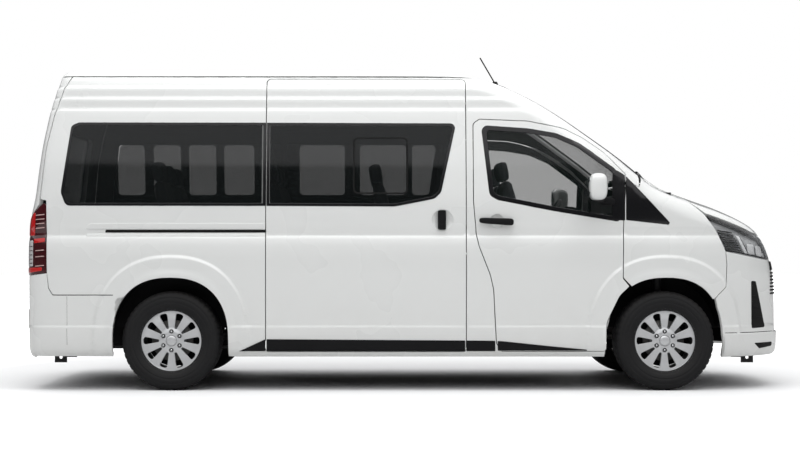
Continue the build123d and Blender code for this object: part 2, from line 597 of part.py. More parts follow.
# Frame rails with crossmembers, and the front subframe
RAIL_HALF = 30.0
RAIL_Z0, RAIL_Z1 = 430.0, floor_z0
pieces = []
for y in (-RAIL_Y, RAIL_Y):
    pieces.append(block(-2670, 2480, y - RAIL_HALF, y + RAIL_HALF, RAIL_Z0, RAIL_Z1))
for x in (-2640, -1250, -400, 650, 2440):
    pieces.append(block(x - 30, x + 30, -RAIL_Y, RAIL_Y, RAIL_Z1 - 55, RAIL_Z1 - 5))
pieces.append(block(FRONT_AXLE_X - 70, FRONT_AXLE_X + 70, -RAIL_Y - RAIL_HALF, RAIL_Y + RAIL_HALF, 236, 300))
for y in (-RAIL_Y, RAIL_Y):
    pieces.append(block(FRONT_AXLE_X - 60, FRONT_AXLE_X + 60, y - RAIL_HALF, y + RAIL_HALF, 298, RAIL_Z0 + 2))
frame = combine(*pieces)
JACK_X = (1150.0, -1150.0)
write("chassis_frame", frame)

# Engine with its gearbox, radiator, propeller shaft and exhaust
engine = combine(block(1620, 2200, -320, 320, 500, 1050), block(1800, 1860, -RAIL_Y - RAIL_HALF + 5, RAIL_Y + RAIL_HALF - 5, RAIL_Z1, RAIL_Z1 + 40),
                 block(1000, 1640, -130, 130, 380, 512))
write("engine_block", less(engine, block(0, 1560, -OUT, OUT, floor_z0, 2000)))
write("radiator", combine(block(2560, 2620, -430, 430, 520, 990), block(2400, 2600, -430, -RAIL_Y + 10, RAIL_Z1, 560),
                          block(2400, 2600, RAIL_Y - 10, 430, RAIL_Z1, 560)))
shaft_dir = Vector(-1560 - 998, 0, AXLE_Z - 440)
shaft = Solid.make_cylinder(34, shaft_dir.length, Plane(origin=(998, 0, 440), z_dir=shaft_dir))
DIFF_RADIUS = 140.0
diff = Solid.make_sphere(DIFF_RADIUS, Plane(origin=(REAR_AXLE_X, 0, AXLE_Z)), -90, 90, 360)
stub_in = WHEEL_Y - 20
axle = combine(rod_y(REAR_AXLE_X, AXLE_Z, 46, -stub_in, stub_in), diff)
HUB_BORE = 36.0
axle = combine(axle, rod_y(REAR_AXLE_X, AXLE_Z, HUB_BORE - SEAT_CLEARANCE, -WHEEL_Y - 50, WHEEL_Y + 50))
write("rear_axle", axle)
write("propeller_shaft", less(shaft, diff))
pipe = combine(rod_x(250, 330, 28, -900, 1500), rod_x(250, 330, 28, 1500, 1650))
muffler = combine(along_x([(170, 260, 50), (330, 260, 50), (330, 410, 50), (170, 410, 50)], -950, -350),
                  rod_y(-920, 330, 28, 320, 866), rod_x(250, 330, 28, -360, 1650),
                  block(-700, -640, 240, 260, 405, RAIL_Z1 - 50), block(-700, -640, 240, RAIL_Y, RAIL_Z1 - 60, RAIL_Z1 - 40))
write("exhaust", less(muffler, frame))
tank = along_x([(-860, 300, 40), (-470, 300, 40), (-470, 505, 30), (-860, 505, 30)], -150, 650)
tank = combine(tank, block(0, 60, -475, -RAIL_Y - RAIL_HALF, 440, 480), block(440, 500, -475, -RAIL_Y - RAIL_HALF, 440, 480))
write("fuel_tank", tank)

# Rear springs hang from the rails on hangers and carry the axle from below
SPRING_Y = 560.0
springs = []
for y in (-SPRING_Y, SPRING_Y):
    leaf = block(REAR_AXLE_X - 600, REAR_AXLE_X + 600, y - 30, y + 30, AXLE_Z - 76, AXLE_Z - 56)
    pad = block(REAR_AXLE_X - 60, REAR_AXLE_X + 60, y - 40, y + 40, AXLE_Z - 58, AXLE_Z)
    inner = y - 40 if y > 0 else y + 40
    rail_face = RAIL_Y + RAIL_HALF if y > 0 else -RAIL_Y - RAIL_HALF
    hangers = []
    for x in (REAR_AXLE_X - 600, REAR_AXLE_X + 560):
        hangers.append(block(x, x + 40, y - 30, y + 30, AXLE_Z - 60, RAIL_Z1 - 30))
        hangers.append(block(x, x + 40, y, rail_face, RAIL_Z0 + 10, RAIL_Z1 - 30))
    springs.append(less(combine(leaf, pad, *hangers), rod_y(REAR_AXLE_X, AXLE_Z, 46, -900, 900)))
write("leaf_springs", Compound([s for item in springs for s in item.solids() if s.volume > 1e5]))

# Front suspension: lower arms on the subframe, and struts up to the wheel housings
arms = []
for sign in (-1, 1):
    inner, outer = sorted((sign * (RAIL_Y + RAIL_HALF), sign * (WHEEL_Y - STEER_OFFSET - 10)))
    arm = block(FRONT_AXLE_X - 35, FRONT_AXLE_X + 35, inner, outer, 236, 266)
    strut = rod_z(FRONT_AXLE_X, sign * 612, 30, 265, AXLE_Z + HOUSING_RADIUS - 12)
    arms.append(combine(arm, strut))
write("front_suspension", Compound(arms))

# Wheels, made once about a local axle and set at the four corners. The local -Y is the outer side.
SPOKES = 10
LUG_COUNT = 6
LUG_CIRCLE = 139.7 / 2


def revolved(rows):
    """A ring about the Y axis from rows of (radius, y, corner radius)."""
    return Solid.revolve(Face(round_corners(rows)), 360, Axis.Y)


half = TYRE_WIDTH / 2
tyre = revolved([
    (BEAD_RADIUS, -94, 0), (FLANGE_RADIUS + 1, -96, 0), (FLANGE_RADIUS + 8, -half + 8, 0), (290, -half, 60),
    (TYRE_RADIUS - 26, -half + 6, 20), (TYRE_RADIUS, -half + 38, 30), (TYRE_RADIUS, half - 38, 30),
    (TYRE_RADIUS - 26, half - 6, 20), (290, half, 60), (FLANGE_RADIUS + 8, half - 8, 0),
    (FLANGE_RADIUS + 1, 96, 0), (BEAD_RADIUS, 94, 0),
])
barrel = revolved([
    (BEAD_RADIUS - 12, -107, 0), (FLANGE_RADIUS, -107, 4), (FLANGE_RADIUS, -97, 3), (BEAD_RADIUS, -95, 0),
    (BEAD_RADIUS, 95, 0), (FLANGE_RADIUS, 97, 3), (FLANGE_RADIUS, 107, 4), (BEAD_RADIUS - 12, 107, 0),
])
disc = Solid.make_cylinder(BEAD_RADIUS - 8, 28, Plane(origin=(0, -90, 0), z_dir=(0, 1, 0)))
hub = Solid.make_cylinder(84, 72, Plane(origin=(0, -82, 0), z_dir=(0, 1, 0)))
SPOKE_HALF = 24.0
light = []
step = 2 * math.pi / SPOKES
apex = SPOKE_HALF / math.sin(step / 2)
for u in (96, BEAD_RADIUS - 22):
    light.append((u, (u - apex) * math.tan(step / 2)))
pocket_rows = [(light[0][0], -light[0][1], 5), (light[1][0], -light[1][1], 12), (light[1][0], light[1][1], 12),
               (light[0][0], light[0][1], 5)]
pocket = Solid.extrude(Face(Plane(origin=(0, -120, 0), x_dir=(0, 0, 1), z_dir=(0, 1, 0)) * round_corners(pocket_rows)),
                       Vector(0, 80, 0))
pockets = [pocket.rotate(Axis.Y, math.degrees(step) * (k + 0.5)) for k in range(SPOKES)]
rim = combine(barrel, less(disc, *pockets), hub)
rim = less(rim, Solid.make_cylinder(HUB_BORE, 54, Plane(origin=(0, -60, 0), z_dir=(0, 1, 0))))
lugs = []
for k in range(LUG_COUNT):
    angle = 2 * math.pi * (k + 0.0) / LUG_COUNT
    lugs.append(Solid.make_cylinder(10, 12, Plane(
        origin=(LUG_CIRCLE * math.sin(angle), -101, LUG_CIRCLE * math.cos(angle)), z_dir=(0, 1, 0))))
rim = combine(rim, *lugs)
for name, x, flip in (("front_right", FRONT_AXLE_X, False), ("front_left", FRONT_AXLE_X, True),
                      ("rear_right", REAR_AXLE_X, False), ("rear_left", REAR_AXLE_X, True)):
    spot = Pos(x, -WHEEL_Y, AXLE_Z)
    placed_tyre, placed_rim = spot * tyre, spot * rim
    if flip:
        placed_tyre, placed_rim = mirrored(placed_tyre), mirrored(placed_rim)
    write(f"tyre_{name}", placed_tyre)
    write(f"rim_{name}", placed_rim)

# Knuckles carry the front wheels and turn about the line over the ends of the lower arms
upright = block(FRONT_AXLE_X - 42, FRONT_AXLE_X + 42, -WHEEL_Y, -WHEEL_Y + 70, 266 + SEAT_CLEARANCE, AXLE_Z + 120)
stub = rod_y(FRONT_AXLE_X, AXLE_Z, HUB_BORE - SEAT_CLEARANCE, -WHEEL_Y - 50, -WHEEL_Y + 5)
knuckle = combine(upright, stub)
write("knuckle_right", knuckle)
write("knuckle_left", mirrored(knuckle))

# Spare wheel under the rear floor, on a carrier from the floor
SPARE_X, SPARE_Z = -2240.0, 390.0
spare_tyre = tyre.rotate(Axis.X, 90)
spare_disc = Solid.make_cylinder(BEAD_RADIUS, 30, Plane(origin=(0, 0, -15)))
carrier = Solid.make_cylinder(24, RAIL_Z1 - SPARE_Z - 15, Plane(origin=(0, 0, 15)))
spare = Pos(SPARE_X, 0, SPARE_Z) * combine(spare_tyre, combine(spare_disc, carrier))
write("spare_wheel", spare)

# Seats: two in front and three rows behind, each row on one base
SEAT_ROWS = [(-130.0, -380.0, 780.0), (-930.0, -380.0, 780.0), (-1760.0, -610.0, 610.0)]


def seat(x, y0, y1, base=True):
    """A bench or chair whose backrest foot is at x, between y0 and y1."""
    cushion = along_y([(x - 30, FLOOR_Z + 300, 30), (x + 480, FLOOR_Z + 320, 40), (x + 480, FLOOR_Z + 430, 40),
                       (x - 30, FLOOR_Z + 400, 30)], y0, y1)
    back = along_y([(x - 20, FLOOR_Z + 330, 30), (x + 110, FLOOR_Z + 400, 30), (x - 50, FLOOR_Z + 980, 40),
                    (x - 150, FLOOR_Z + 970, 40)], y0 + 10, y1 - 10)
    count = max(1, round((y1 - y0) / 450))
    width = (y1 - y0) / count
    parts = [cushion, back]
    for k in range(count):
        mid = y0 + width * (k + 0.5)
        parts.append(along_y([(x - 158, FLOOR_Z + 960, 30), (x - 52, FLOOR_Z + 965, 30), (x - 75, FLOOR_Z + 1120, 40),
                              (x - 165, FLOOR_Z + 1110, 40)], mid - 125, mid + 125))
    parts.append(block(x + 60, x + 420, y0 + 70, y1 - 70, FLOOR_Z, FLOOR_Z + 310))
    return combine(*parts)


front_seats = [seat(820, -660, -150), seat(820, 150, 660)]
write("front_seats", Compound(front_seats))
rear_seats = [seat(*row) for row in SEAT_ROWS]
write("rear_seats", Compound(rear_seats))

# Dashboard with the steering column, and the steering wheel
dash = along_y([(1330, 1000, 40), (1380, 860, 30), (BULKHEAD_X, 860, 0), (BULKHEAD_X, 1240, 0), (1440, 1290, 60),
                (1330, 1230, 50)], -800, 800)
WHEEL_CENTRE = Vector(1150.0, 400.0, 1260.0)
column_dir = Vector(math.cos(math.radians(32)), 0, -math.sin(math.radians(32)))
column = Solid.make_cylinder(34, 300, Plane(origin=WHEEL_CENTRE + column_dir * (40 + SEAT_CLEARANCE), z_dir=column_dir))
write("dashboard", combine(dash, column))
ring_plane = Plane(origin=WHEEL_CENTRE, z_dir=column_dir * -1)
steering = combine(
    ring_plane * Solid.make_torus(185, 15),
    ring_plane * Solid.make_cylinder(62, 44, Plane(origin=(0, 0, -40))),
    ring_plane * block(-180, 180, -20, 20, -10, 8),
)
write("steering_wheel", steering)

# Roof aerial, wipers and towing eyes
aerial_foot = less(Solid.make_cone(42, 16, 56, Plane(origin=(690, 0, ROOF_HEIGHT - 62))), OUTER)
mast = Solid.make_cylinder(5, 234, Plane(origin=(690, 0, ROOF_HEIGHT - 20), z_dir=(-0.504, 0, 0.863)))
write("aerial", combine(biggest(aerial_foot), less(mast, OUTER)))
wipers = []
wiper_reach = body_form(PLAIN_SECTION, -14)
for y0, y1, pivot_y in ((-700, -120, -200), (60, 690, 140)):
    blade = common(block(1690, 1960, y0, y1, COWL_Z + 14, COWL_Z + 28), wiper_reach)
    arm = block(1800, 1862, pivot_y - 8, pivot_y + 8, COWL_Z + 14, COWL_Z + 26)
    pivot = combine(rod_z(1856, pivot_y, 8, 1500, COWL_Z + 26), arm)
    wipers.append(biggest(less(combine(blade, pivot), OUTER)))
write("wipers", Compound(wipers))

TOW_HOLE = 14.0
TOW_THICKNESS = 16.0
TOW_EYE_Z = 205.0
tow = []
for x, y, z, reach in ((2560.0, -RAIL_Y, TOW_EYE_Z, 1), (-2620.0, -RAIL_Y, TOW_EYE_Z, -1)):
    plate = block(x - 45, x + 45, y - TOW_THICKNESS / 2, y + TOW_THICKNESS / 2, z - 40, z + 40)
    arm_x = sorted((x - reach * 120, x))
    arm = block(arm_x[0], arm_x[1], y - TOW_THICKNESS / 2, y + TOW_THICKNESS / 2, z, RAIL_Z0)
    tow.append(less(combine(plate, arm), rod_y(x, z, TOW_HOLE, y - 50, y + 50)))
write("tow_eyes", Compound(tow))
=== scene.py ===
import math

import bmesh
import bpy
import numpy as np
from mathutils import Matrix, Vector
from mathutils.geometry import delaunay_2d_cdt


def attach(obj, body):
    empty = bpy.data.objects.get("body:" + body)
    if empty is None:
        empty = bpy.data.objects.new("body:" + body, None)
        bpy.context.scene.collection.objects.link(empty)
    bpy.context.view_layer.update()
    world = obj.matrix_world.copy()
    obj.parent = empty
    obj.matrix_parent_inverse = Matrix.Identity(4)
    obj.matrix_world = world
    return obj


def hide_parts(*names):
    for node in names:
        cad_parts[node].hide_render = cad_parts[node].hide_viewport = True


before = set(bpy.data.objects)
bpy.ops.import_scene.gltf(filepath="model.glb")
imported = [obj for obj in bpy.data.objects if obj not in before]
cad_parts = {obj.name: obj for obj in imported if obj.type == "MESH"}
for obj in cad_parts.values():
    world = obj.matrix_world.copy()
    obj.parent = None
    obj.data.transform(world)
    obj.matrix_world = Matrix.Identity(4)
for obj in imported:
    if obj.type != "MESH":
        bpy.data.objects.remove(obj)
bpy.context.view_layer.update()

scene = bpy.context.scene
collection = scene.collection

# Studio: a plain pale floor under white daylight, with one broad soft box overhead and a fill behind the
# camera.
world = bpy.data.worlds.new("studio")
world.use_nodes = True
world_tree = world.node_tree
sky_place = world_tree.nodes.new("ShaderNodeTexCoord")
sky_split = world_tree.nodes.new("ShaderNodeSeparateXYZ")
world_tree.links.new(sky_place.outputs["Generated"], sky_split.inputs[0])
sky_ramp = world_tree.nodes.new("ShaderNodeValToRGB")
sky_ramp.color_ramp.elements[0].position = 0.0
sky_ramp.color_ramp.elements[0].color = (0.05, 0.052, 0.055, 1)
sky_ramp.color_ramp.elements[1].position = 0.62
sky_ramp.color_ramp.elements[1].color = (1, 1, 1, 1)
for place_at, value in ((0.262, 0.10), (0.272, 0.86), (0.45, 0.90)):
    step_up = sky_ramp.color_ramp.elements.new(place_at)
    step_up.color = (value, value, value * 1.02, 1)
world_tree.links.new(sky_split.outputs["Z"], sky_ramp.inputs[0])
sky_path = world_tree.nodes.new("ShaderNodeLightPath")
sky_mix = world_tree.nodes.new("ShaderNodeMix")
sky_mix.data_type = "RGBA"
world_tree.links.new(sky_path.outputs["Is Camera Ray"], sky_mix.inputs["Factor"])
world_tree.links.new(sky_ramp.outputs["Color"], sky_mix.inputs["A"])
sky_mix.inputs["B"].default_value = (1, 1, 1, 1)
world_tree.links.new(sky_mix.outputs["Result"], world_tree.nodes["Background"].inputs["Color"])
world_tree.nodes["Background"].inputs["Strength"].default_value = 1.0
scene.world = world
scene.view_settings.view_transform = "Standard"


def soft_box(name, place, aim, size, power):
    lamp = bpy.data.lights.new(name, "AREA")
    lamp.shape = "RECTANGLE"
    lamp.size, lamp.size_y = size
    lamp.energy = power
    box = bpy.data.objects.new(name, lamp)
    box.location = place
    box.rotation_euler = (Vector(aim) - Vector(place)).to_track_quat("-Z", "Y").to_euler()
    collection.objects.link(box)


soft_box("overhead_box", (-0.3, -2.4, 6.4), (0, -0.2, 0.8), (9.0, 3.4), 230)
soft_box("near_fill", (0.3, -8.0, 7.5), (0, 0, 0.9), (9.0, 3.0), 120)
soft_box("far_fill", (0.0, 8.0, 5.0), (0, 0, 1.0), (9.0, 3.0), 110)

floor_mesh = bpy.data.meshes.new("studio_floor")
floor_mesh.from_pydata([(-60, -60, 0), (60, -60, 0), (60, 60, 0), (-60, 60, 0)], [], [(0, 1, 2, 3)])
studio_floor = bpy.data.objects.new("studio_floor", floor_mesh)
collection.objects.link(studio_floor)
floor_paint = bpy.data.materials.new("pale_floor")
floor_paint.use_nodes = True
floor_tree = floor_paint.node_tree
floor_noise = floor_tree.nodes.new("ShaderNodeTexNoise")
floor_noise.inputs["Scale"].default_value = 0.8
floor_ramp = floor_tree.nodes.new("ShaderNodeValToRGB")
floor_ramp.color_ramp.elements[0].color = (0.90, 0.905, 0.91, 1)
floor_ramp.color_ramp.elements[1].color = (0.94, 0.945, 0.95, 1)
floor_tree.links.new(floor_noise.outputs["Fac"], floor_ramp.inputs[0])
floor_path = floor_tree.nodes.new("ShaderNodeLightPath")
floor_mix = floor_tree.nodes.new("ShaderNodeMix")
floor_mix.data_type = "RGBA"
floor_tree.links.new(floor_path.outputs["Is Camera Ray"], floor_mix.inputs["Factor"])
floor_mix.inputs["A"].default_value = (0.58, 0.58, 0.58, 1)
floor_tree.links.new(floor_ramp.outputs[0], floor_mix.inputs["B"])
floor_tree.links.new(floor_mix.outputs["Result"], floor_tree.nodes["Principled BSDF"].inputs["Base Color"])
floor_tree.nodes["Principled BSDF"].inputs["Roughness"].default_value = 0.7
floor_place = floor_tree.nodes.new("ShaderNodeTexCoord")
floor_reach = floor_tree.nodes.new("ShaderNodeVectorMath")
floor_reach.operation = "LENGTH"
floor_tree.links.new(floor_place.outputs["Object"], floor_reach.inputs[0])
floor_far = floor_tree.nodes.new("ShaderNodeMapRange")
floor_far.inputs["From Min"].default_value = 3.6
floor_far.inputs["From Max"].default_value = 6.5
floor_tree.links.new(floor_reach.outputs["Value"], floor_far.inputs["Value"])
floor_glow = floor_tree.nodes.new("ShaderNodeMath")
floor_glow.operation = "MULTIPLY"
floor_tree.links.new(floor_far.outputs["Result"], floor_glow.inputs[0])
floor_tree.links.new(floor_path.outputs["Is Camera Ray"], floor_glow.inputs[1])
floor_tree.nodes["Principled BSDF"].inputs["Emission Color"].default_value = (1, 1, 1, 1)
floor_tree.links.new(floor_glow.outputs[0], floor_tree.nodes["Principled BSDF"].inputs["Emission Strength"])
floor_mesh.materials.append(floor_paint)

# Camera: level, about ten metres from the right side, a little under waist height. The shift frames
# the van as the photograph does.
camera_data = bpy.data.cameras.new("camera")
camera_data.lens = 62.8
camera_data.sensor_width = 36.0
camera_data.shift_x = 0.01875
camera_data.shift_y = 0.04
camera_data.dof.use_dof = False
camera = bpy.data.objects.new("camera", camera_data)
camera.location = (-0.173, -10.95, 0.960)
camera.rotation_euler = (math.radians(90), 0, 0)
collection.objects.link(camera)
scene.camera = camera

# Body form: one smooth outer surface that every panel, pane and lamp lens is laid on. It is worked out
# from a side profile, an end section and a plan, all in millimetres, and blended where they meet.
NOSE_AXIS = -1200.0
AXLE_Z = 357.0
FRONT_AXLE_X, REAR_AXLE_X = 1840.0, -1710.0
ARCH_WIDTH, ARCH_HEIGHT = 415.0, 455.0
WALL_REAR_X, WALL_REAR_Y, WALL_REAR_R = -2430.0, 700.0, 270.0
WALL_NOSE_X, WALL_NOSE_Y, WALL_NOSE_R = 2150.0, 420.0, 560.0


def smooth_table(rows):
    """A smooth curve through rows of (place, value), read off by interpolation."""
    t, v = np.array(rows, dtype=float).T
    gap, rise = np.diff(t), np.diff(v)
    slope = rise / gap
    tangent = np.zeros(len(t))
    same = slope[1:] * slope[:-1] > 0
    mean = (gap[1:] + gap[:-1])
    with np.errstate(divide="ignore", invalid="ignore"):
        blend = 3 * mean / ((2 * gap[1:] + gap[:-1]) / slope[:-1] + (gap[1:] + 2 * gap[:-1]) / slope[1:])
    tangent[1:-1] = np.where(same, blend, 0)
    tangent[0], tangent[-1] = slope[0], slope[-1]
    dense_t = np.arange(t[0], t[-1], 1.5)
    i = np.clip(np.searchsorted(t, dense_t, side="right") - 1, 0, len(gap) - 1)
    u = (dense_t - t[i]) / gap[i]
    a, b = v[i], v[i + 1]
    m0, m1 = tangent[i] * gap[i], tangent[i + 1] * gap[i]
    dense_v = (2 * u**3 - 3 * u**2 + 1) * a + (u**3 - 2 * u**2 + u) * m0 \
        + (3 * u**2 - 2 * u**3) * b + (u**3 - u**2) * m1
    return dense_t, dense_v


def read(table, place):
    return np.interp(place, table[0], table[1])


def steepness(table, place):
    """The cosine of a curve's slope, which turns a height difference into a distance."""
    rise = (read(table, place + 6) - read(table, place - 6)) / 12
    return 1 / np.sqrt(1 + rise * rise)


# Height of the roof, windscreen and bonnet by the distance ahead
TOP = smooth_table([
    (-3100, 2352), (-1250, 2353), (-300, 2350), (100, 2345), (300, 2336), (462, 2322), (600, 2300),
    (720, 2270), (818, 2233), (904, 2190), (989, 2146), (1074, 2097), (1159, 2043), (1245, 1986),
    (1331, 1925), (1417, 1864), (1502, 1803), (1588, 1740), (1673, 1673), (1759, 1602), (1830, 1545),
    (1880, 1508), (1927, 1483), (2013, 1449), (2099, 1418), (2185, 1388), (2271, 1358), (2359, 1323),
    (2445, 1284), (2532, 1238), (2620, 1180), (2700, 1110), (2800, 1000), (3100, 600),
])
# Reach of the nose by height, and reach of the tail by height
NOSE = smooth_table([
    (0, 2700), (200, 2752), (243, 2770), (300, 2782), (420, 2784), (600, 2780), (760, 2768),
    (880, 2750), (960, 2728), (1040, 2700), (1110, 2670), (1180, 2636), (1260, 2600), (2400, 2200),
])
TAIL = smooth_table([
    (0, 2760), (243, 2778), (330, 2785), (700, 2786), (1000, 2786), (1160, 2781), (1260, 2766),
    (1400, 2734), (1588, 2710), (1775, 2683), (1905, 2657), (2038, 2627), (2171, 2590), (2245, 2572),
    (2290, 2572), (2400, 2560),
])
# Half width by height: sill crease, full shoulder, waist step, glass, and three ribs along the roof side
SIDE = smooth_table([
    (0, 880), (243, 912), (262, 934), (300, 947), (372, 955), (448, 959), (462, 957), (474, 952),
    (560, 954), (700, 958), (860, 962), (960, 961.5), (1030, 958), (1085, 951), (1108, 944),
    (1118, 939), (1150, 941), (1182, 945.5), (1240, 947), (1336, 946), (1500, 934), (1700, 914),
    (1926, 886), (2000, 877), (2020, 873), (2030, 865), (2050, 862.5), (2096, 860), (2106, 857),
    (2116, 849), (2140, 846.5), (2178, 843), (2188, 839), (2198, 830), (2226, 822), (2290, 800), (2400, 760),
])
# How far the sides draw in towards each end
PLAN = smooth_table([
    (-3000, 380), (-2850, 160), (-2760, 60), (-2680, 22), (-2600, 7), (-2480, 0), (-2000, 0), (1500, 0),
    (1800, 2), (1960, 8), (2100, 20), (2200, 36), (2320, 66), (2440, 115), (2540, 180), (2640, 275),
    (2740, 420), (2900, 700),
])


def soft_max(a, b, reach):
    """The larger of two distances, rounded where they are within reach of each other."""
    over = np.maximum(reach - np.abs(a - b), 0)
    return np.maximum(a, b) + over * over / (4 * reach)


def ramp(value, low, high):
    t = np.clip((value - low) / (high - low), 0, 1)
    return t * t * (3 - 2 * t)


def flares(x, z):
    """The raised band round each wheel arch, with a crisp upper crease."""
    out = 0
    for axle in (FRONT_AXLE_X, REAR_AXLE_X):
        ring = (np.abs((x - axle) / ARCH_WIDTH) ** 2.3 + np.abs((z - AXLE_Z) / ARCH_HEIGHT) ** 2.3) ** (1 / 2.3)
        lift = 10 * (1 - ramp(ring, 1.30, 1.37)) + 6 * (1 - ramp(ring, 1.03, 1.15))
        out = out + lift * ramp(z, 180, 330)
    return out


def form(points):
    """Signed distance to the body's surface, positive outside."""
    x, y, z = points[:, 0], np.abs(points[:, 1]), points[:, 2]
    ahead = np.where(x > NOSE_AXIS, np.hypot(x - NOSE_AXIS, y) + NOSE_AXIS, x)
    bend = ramp(x, 1500, 2300)
    wing = flares(x, z)
    side = (y - read(SIDE, z) - wing + read(PLAN, x)) * steepness(SIDE, z) / np.sqrt(
        1 + ((read(PLAN, x + 10) - read(PLAN, x - 10)) / 20) ** 2)
    crown = (5.4e-5 + 2.0e-5 * bend) * y * y
    top = (z - read(TOP, ahead) + crown) * steepness(TOP, ahead)
    nose = (ahead - read(NOSE, z)) * steepness(NOSE, z)
    tail = (-x - read(TAIL, z) + 30 * (y / 900) ** 2) * steepness(TAIL, z)
    out = soft_max(side, top, 80 + 60 * bend)
    out = soft_max(out, nose, 60)
    return soft_max(out, tail, 110)


def cast(origin, direction, reach):
    """Where rays that start outside meet the surface."""
    low, high = np.zeros(len(origin)), np.full(len(origin), float(reach))
    for _ in range(22):
        middle = (low + high) / 2
        outside = form(origin + direction * middle[:, None]) > 0
        low, high = np.where(outside, middle, low), np.where(outside, high, middle)
    return origin + direction * ((low + high) / 2)[:, None]


def surface_normal(points, span=2.5):
    out = np.empty_like(points)
    for axis in range(3):
        step = np.zeros(3)
        step[axis] = span
        out[:, axis] = form(points + step) - form(points - step)
    return out / np.linalg.norm(out, axis=1)[:, None]


def nose_limit(y):
    """The wall distance of a point y from the centre line, on the nose and on the tail."""
    return WALL_NOSE_X + WALL_NOSE_R * math.pi / 2 + (WALL_NOSE_Y - y)


def tail_limit(y):
    return WALL_REAR_X - WALL_REAR_R * math.pi / 2 - (WALL_REAR_Y - y)


def across(ring, centre):
    """A ring that runs on past a centre line as its own mirror image: rows start and end on the line."""
    other = ring[::-1].copy()
    other[:, 0] = 2 * centre - other[:, 0]
    return np.concatenate([ring, other])


def wall_ray(s):
    """Start and direction of the level ray at a distance s round the right half of the wall. Along the
    side s is x. It runs on round the nose and the tail to the centre line."""
    s = np.asarray(s, dtype=float)
    x, y = s.copy(), np.zeros_like(s)
    angle = np.zeros_like(s)
    fore, aft = s > WALL_NOSE_X, s < WALL_REAR_X
    turn = np.where(fore, (s - WALL_NOSE_X) / WALL_NOSE_R,
                    0) + np.where(aft, (s - WALL_REAR_X) / WALL_REAR_R, 0)
    past = np.abs(turn) - math.pi / 2
    radius = np.where(fore, WALL_NOSE_R, WALL_REAR_R)
    along = np.maximum(past, 0) * radius
    angle = np.clip(turn, -math.pi / 2, math.pi / 2)
    centre_x = np.where(fore, WALL_NOSE_X, np.where(aft, WALL_REAR_X, s))
    centre_y = np.where(fore, WALL_NOSE_Y, np.where(aft, WALL_REAR_Y, 500.0)) - along
    direction = np.stack([np.sin(angle), -np.cos(angle)], axis=1)
    start = np.stack([centre_x, -centre_y], axis=1)
    return start, direction


def wall_points(s, z):
    """Surface points at wall distances. Past a centre line they are on the left half."""
    s, z = np.asarray(s, dtype=float), np.asarray(z, dtype=float)
    fore, aft = nose_limit(0), tail_limit(0)
    left = (s > fore) | (s < aft)
    s = np.where(s > fore, 2 * fore - s, np.where(s < aft, 2 * aft - s, s))
    start, direction = wall_ray(s)
    origin = np.column_stack([start + direction * 1300, z])
    inward = np.column_stack([-direction, np.zeros(len(z))])
    points = cast(origin, inward, 1300)
    points[:, 1] *= np.where(left, -1, 1)
    return points


def wall_place(xz, limit=0.0):
    """The wall distance of side-view points. Points beyond the outline in side view go to the limit."""
    xz = np.asarray(xz, dtype=float)
    out = xz.copy()
    for end, edge in ((1, WALL_NOSE_X - 60), (-1, WALL_REAR_X + 60)):
        rows = np.where(xz[:, 0] * end > edge * end)[0]
        if not len(rows):
            continue
        samples = 90
        last = limit or (nose_limit(0) if end > 0 else tail_limit(0))
        table = np.linspace(edge, last, samples)
        s = np.tile(table, len(rows))
        z = np.repeat(xz[rows, 1], samples)
        x = wall_points(s, z)[:, 0].reshape(len(rows), samples)
        for row, line in zip(rows, x):
            rising = np.maximum.accumulate(line * end)
            out[row, 0] = np.interp(xz[row, 0] * end, rising, table)
    return out


def outline(rows, step=24.0):
    """A closed polyline from rows of (u, v, corner radius), with its long sides divided."""
    pts = [np.array(r[:2], dtype=float) for r in rows]
    out = []
    for i, row in enumerate(rows):
        here, back, ahead = pts[i], pts[i - 1], pts[(i + 1) % len(rows)]
        lb, la = np.linalg.norm(back - here), np.linalg.norm(ahead - here)
        b, a = (back - here) / lb, (ahead - here) / la
        half = math.acos(max(-1, min(1, float(b @ a)))) / 2
        radius = row[2] if len(row) > 2 else 0
        if radius <= 0 or abs(half - math.pi / 2) < 1e-3:
            out.append(here)
            continue
        reach = min(radius / math.tan(half), 0.49 * lb, 0.49 * la)
        radius = reach * math.tan(half)
        middle = here + (a + b) / np.linalg.norm(a + b) * radius / math.sin(half)
        first, last = here + b * reach, here + a * reach
        t0 = math.atan2(*(first - middle)[::-1])
        t1 = math.atan2(*(last - middle)[::-1])
        sweep = (t1 - t0 + math.pi) % (2 * math.pi) - math.pi
        count = max(2, int(abs(sweep) * radius / 9) + 1, int(abs(sweep) / 0.26) + 1)
        count = min(count, 40)
        for k in range(count + 1):
            t = t0 + sweep * k / count
            out.append(middle + radius * np.array([math.cos(t), math.sin(t)]))
    dense = []
    for i, here in enumerate(out):
        ahead = out[(i + 1) % len(out)]
        length = np.linalg.norm(ahead - here)
        if length < 1e-3:
            continue
        count = max(1, int(round(length / step)))
        dense += [here + (ahead - here) * k / count for k in range(count)]
    return np.array(dense)


def offset_rows(rows, distance):
    """Outline rows moved inwards by distance."""
    count = len(rows)
    area = sum(rows[i - 1][0] * rows[i][1] - rows[i][0] * rows[i - 1][1] for i in range(count))
    turn = -1 if area > 0 else 1
    out = []
    for i in range(count):
        x, y = rows[i][:2]
        r = rows[i][2] if len(rows[i]) > 2 else 0
        bx, by = x - rows[i - 1][0], y - rows[i - 1][1]
        ax, ay = rows[(i + 1) % count][0] - x, rows[(i + 1) % count][1] - y
        bl, al = math.hypot(bx, by), math.hypot(ax, ay)
        n1, n2 = (turn * by / bl, -turn * bx / bl), (turn * ay / al, -turn * ax / al)
        share = distance / max(0.3, 1 + n1[0] * n2[0] + n1[1] * n2[1])
        out.append((x + (n1[0] + n2[0]) * share, y + (n1[1] + n2[1]) * share,
                    max(r - distance * 0.6, 3) if r else 0))
    return out


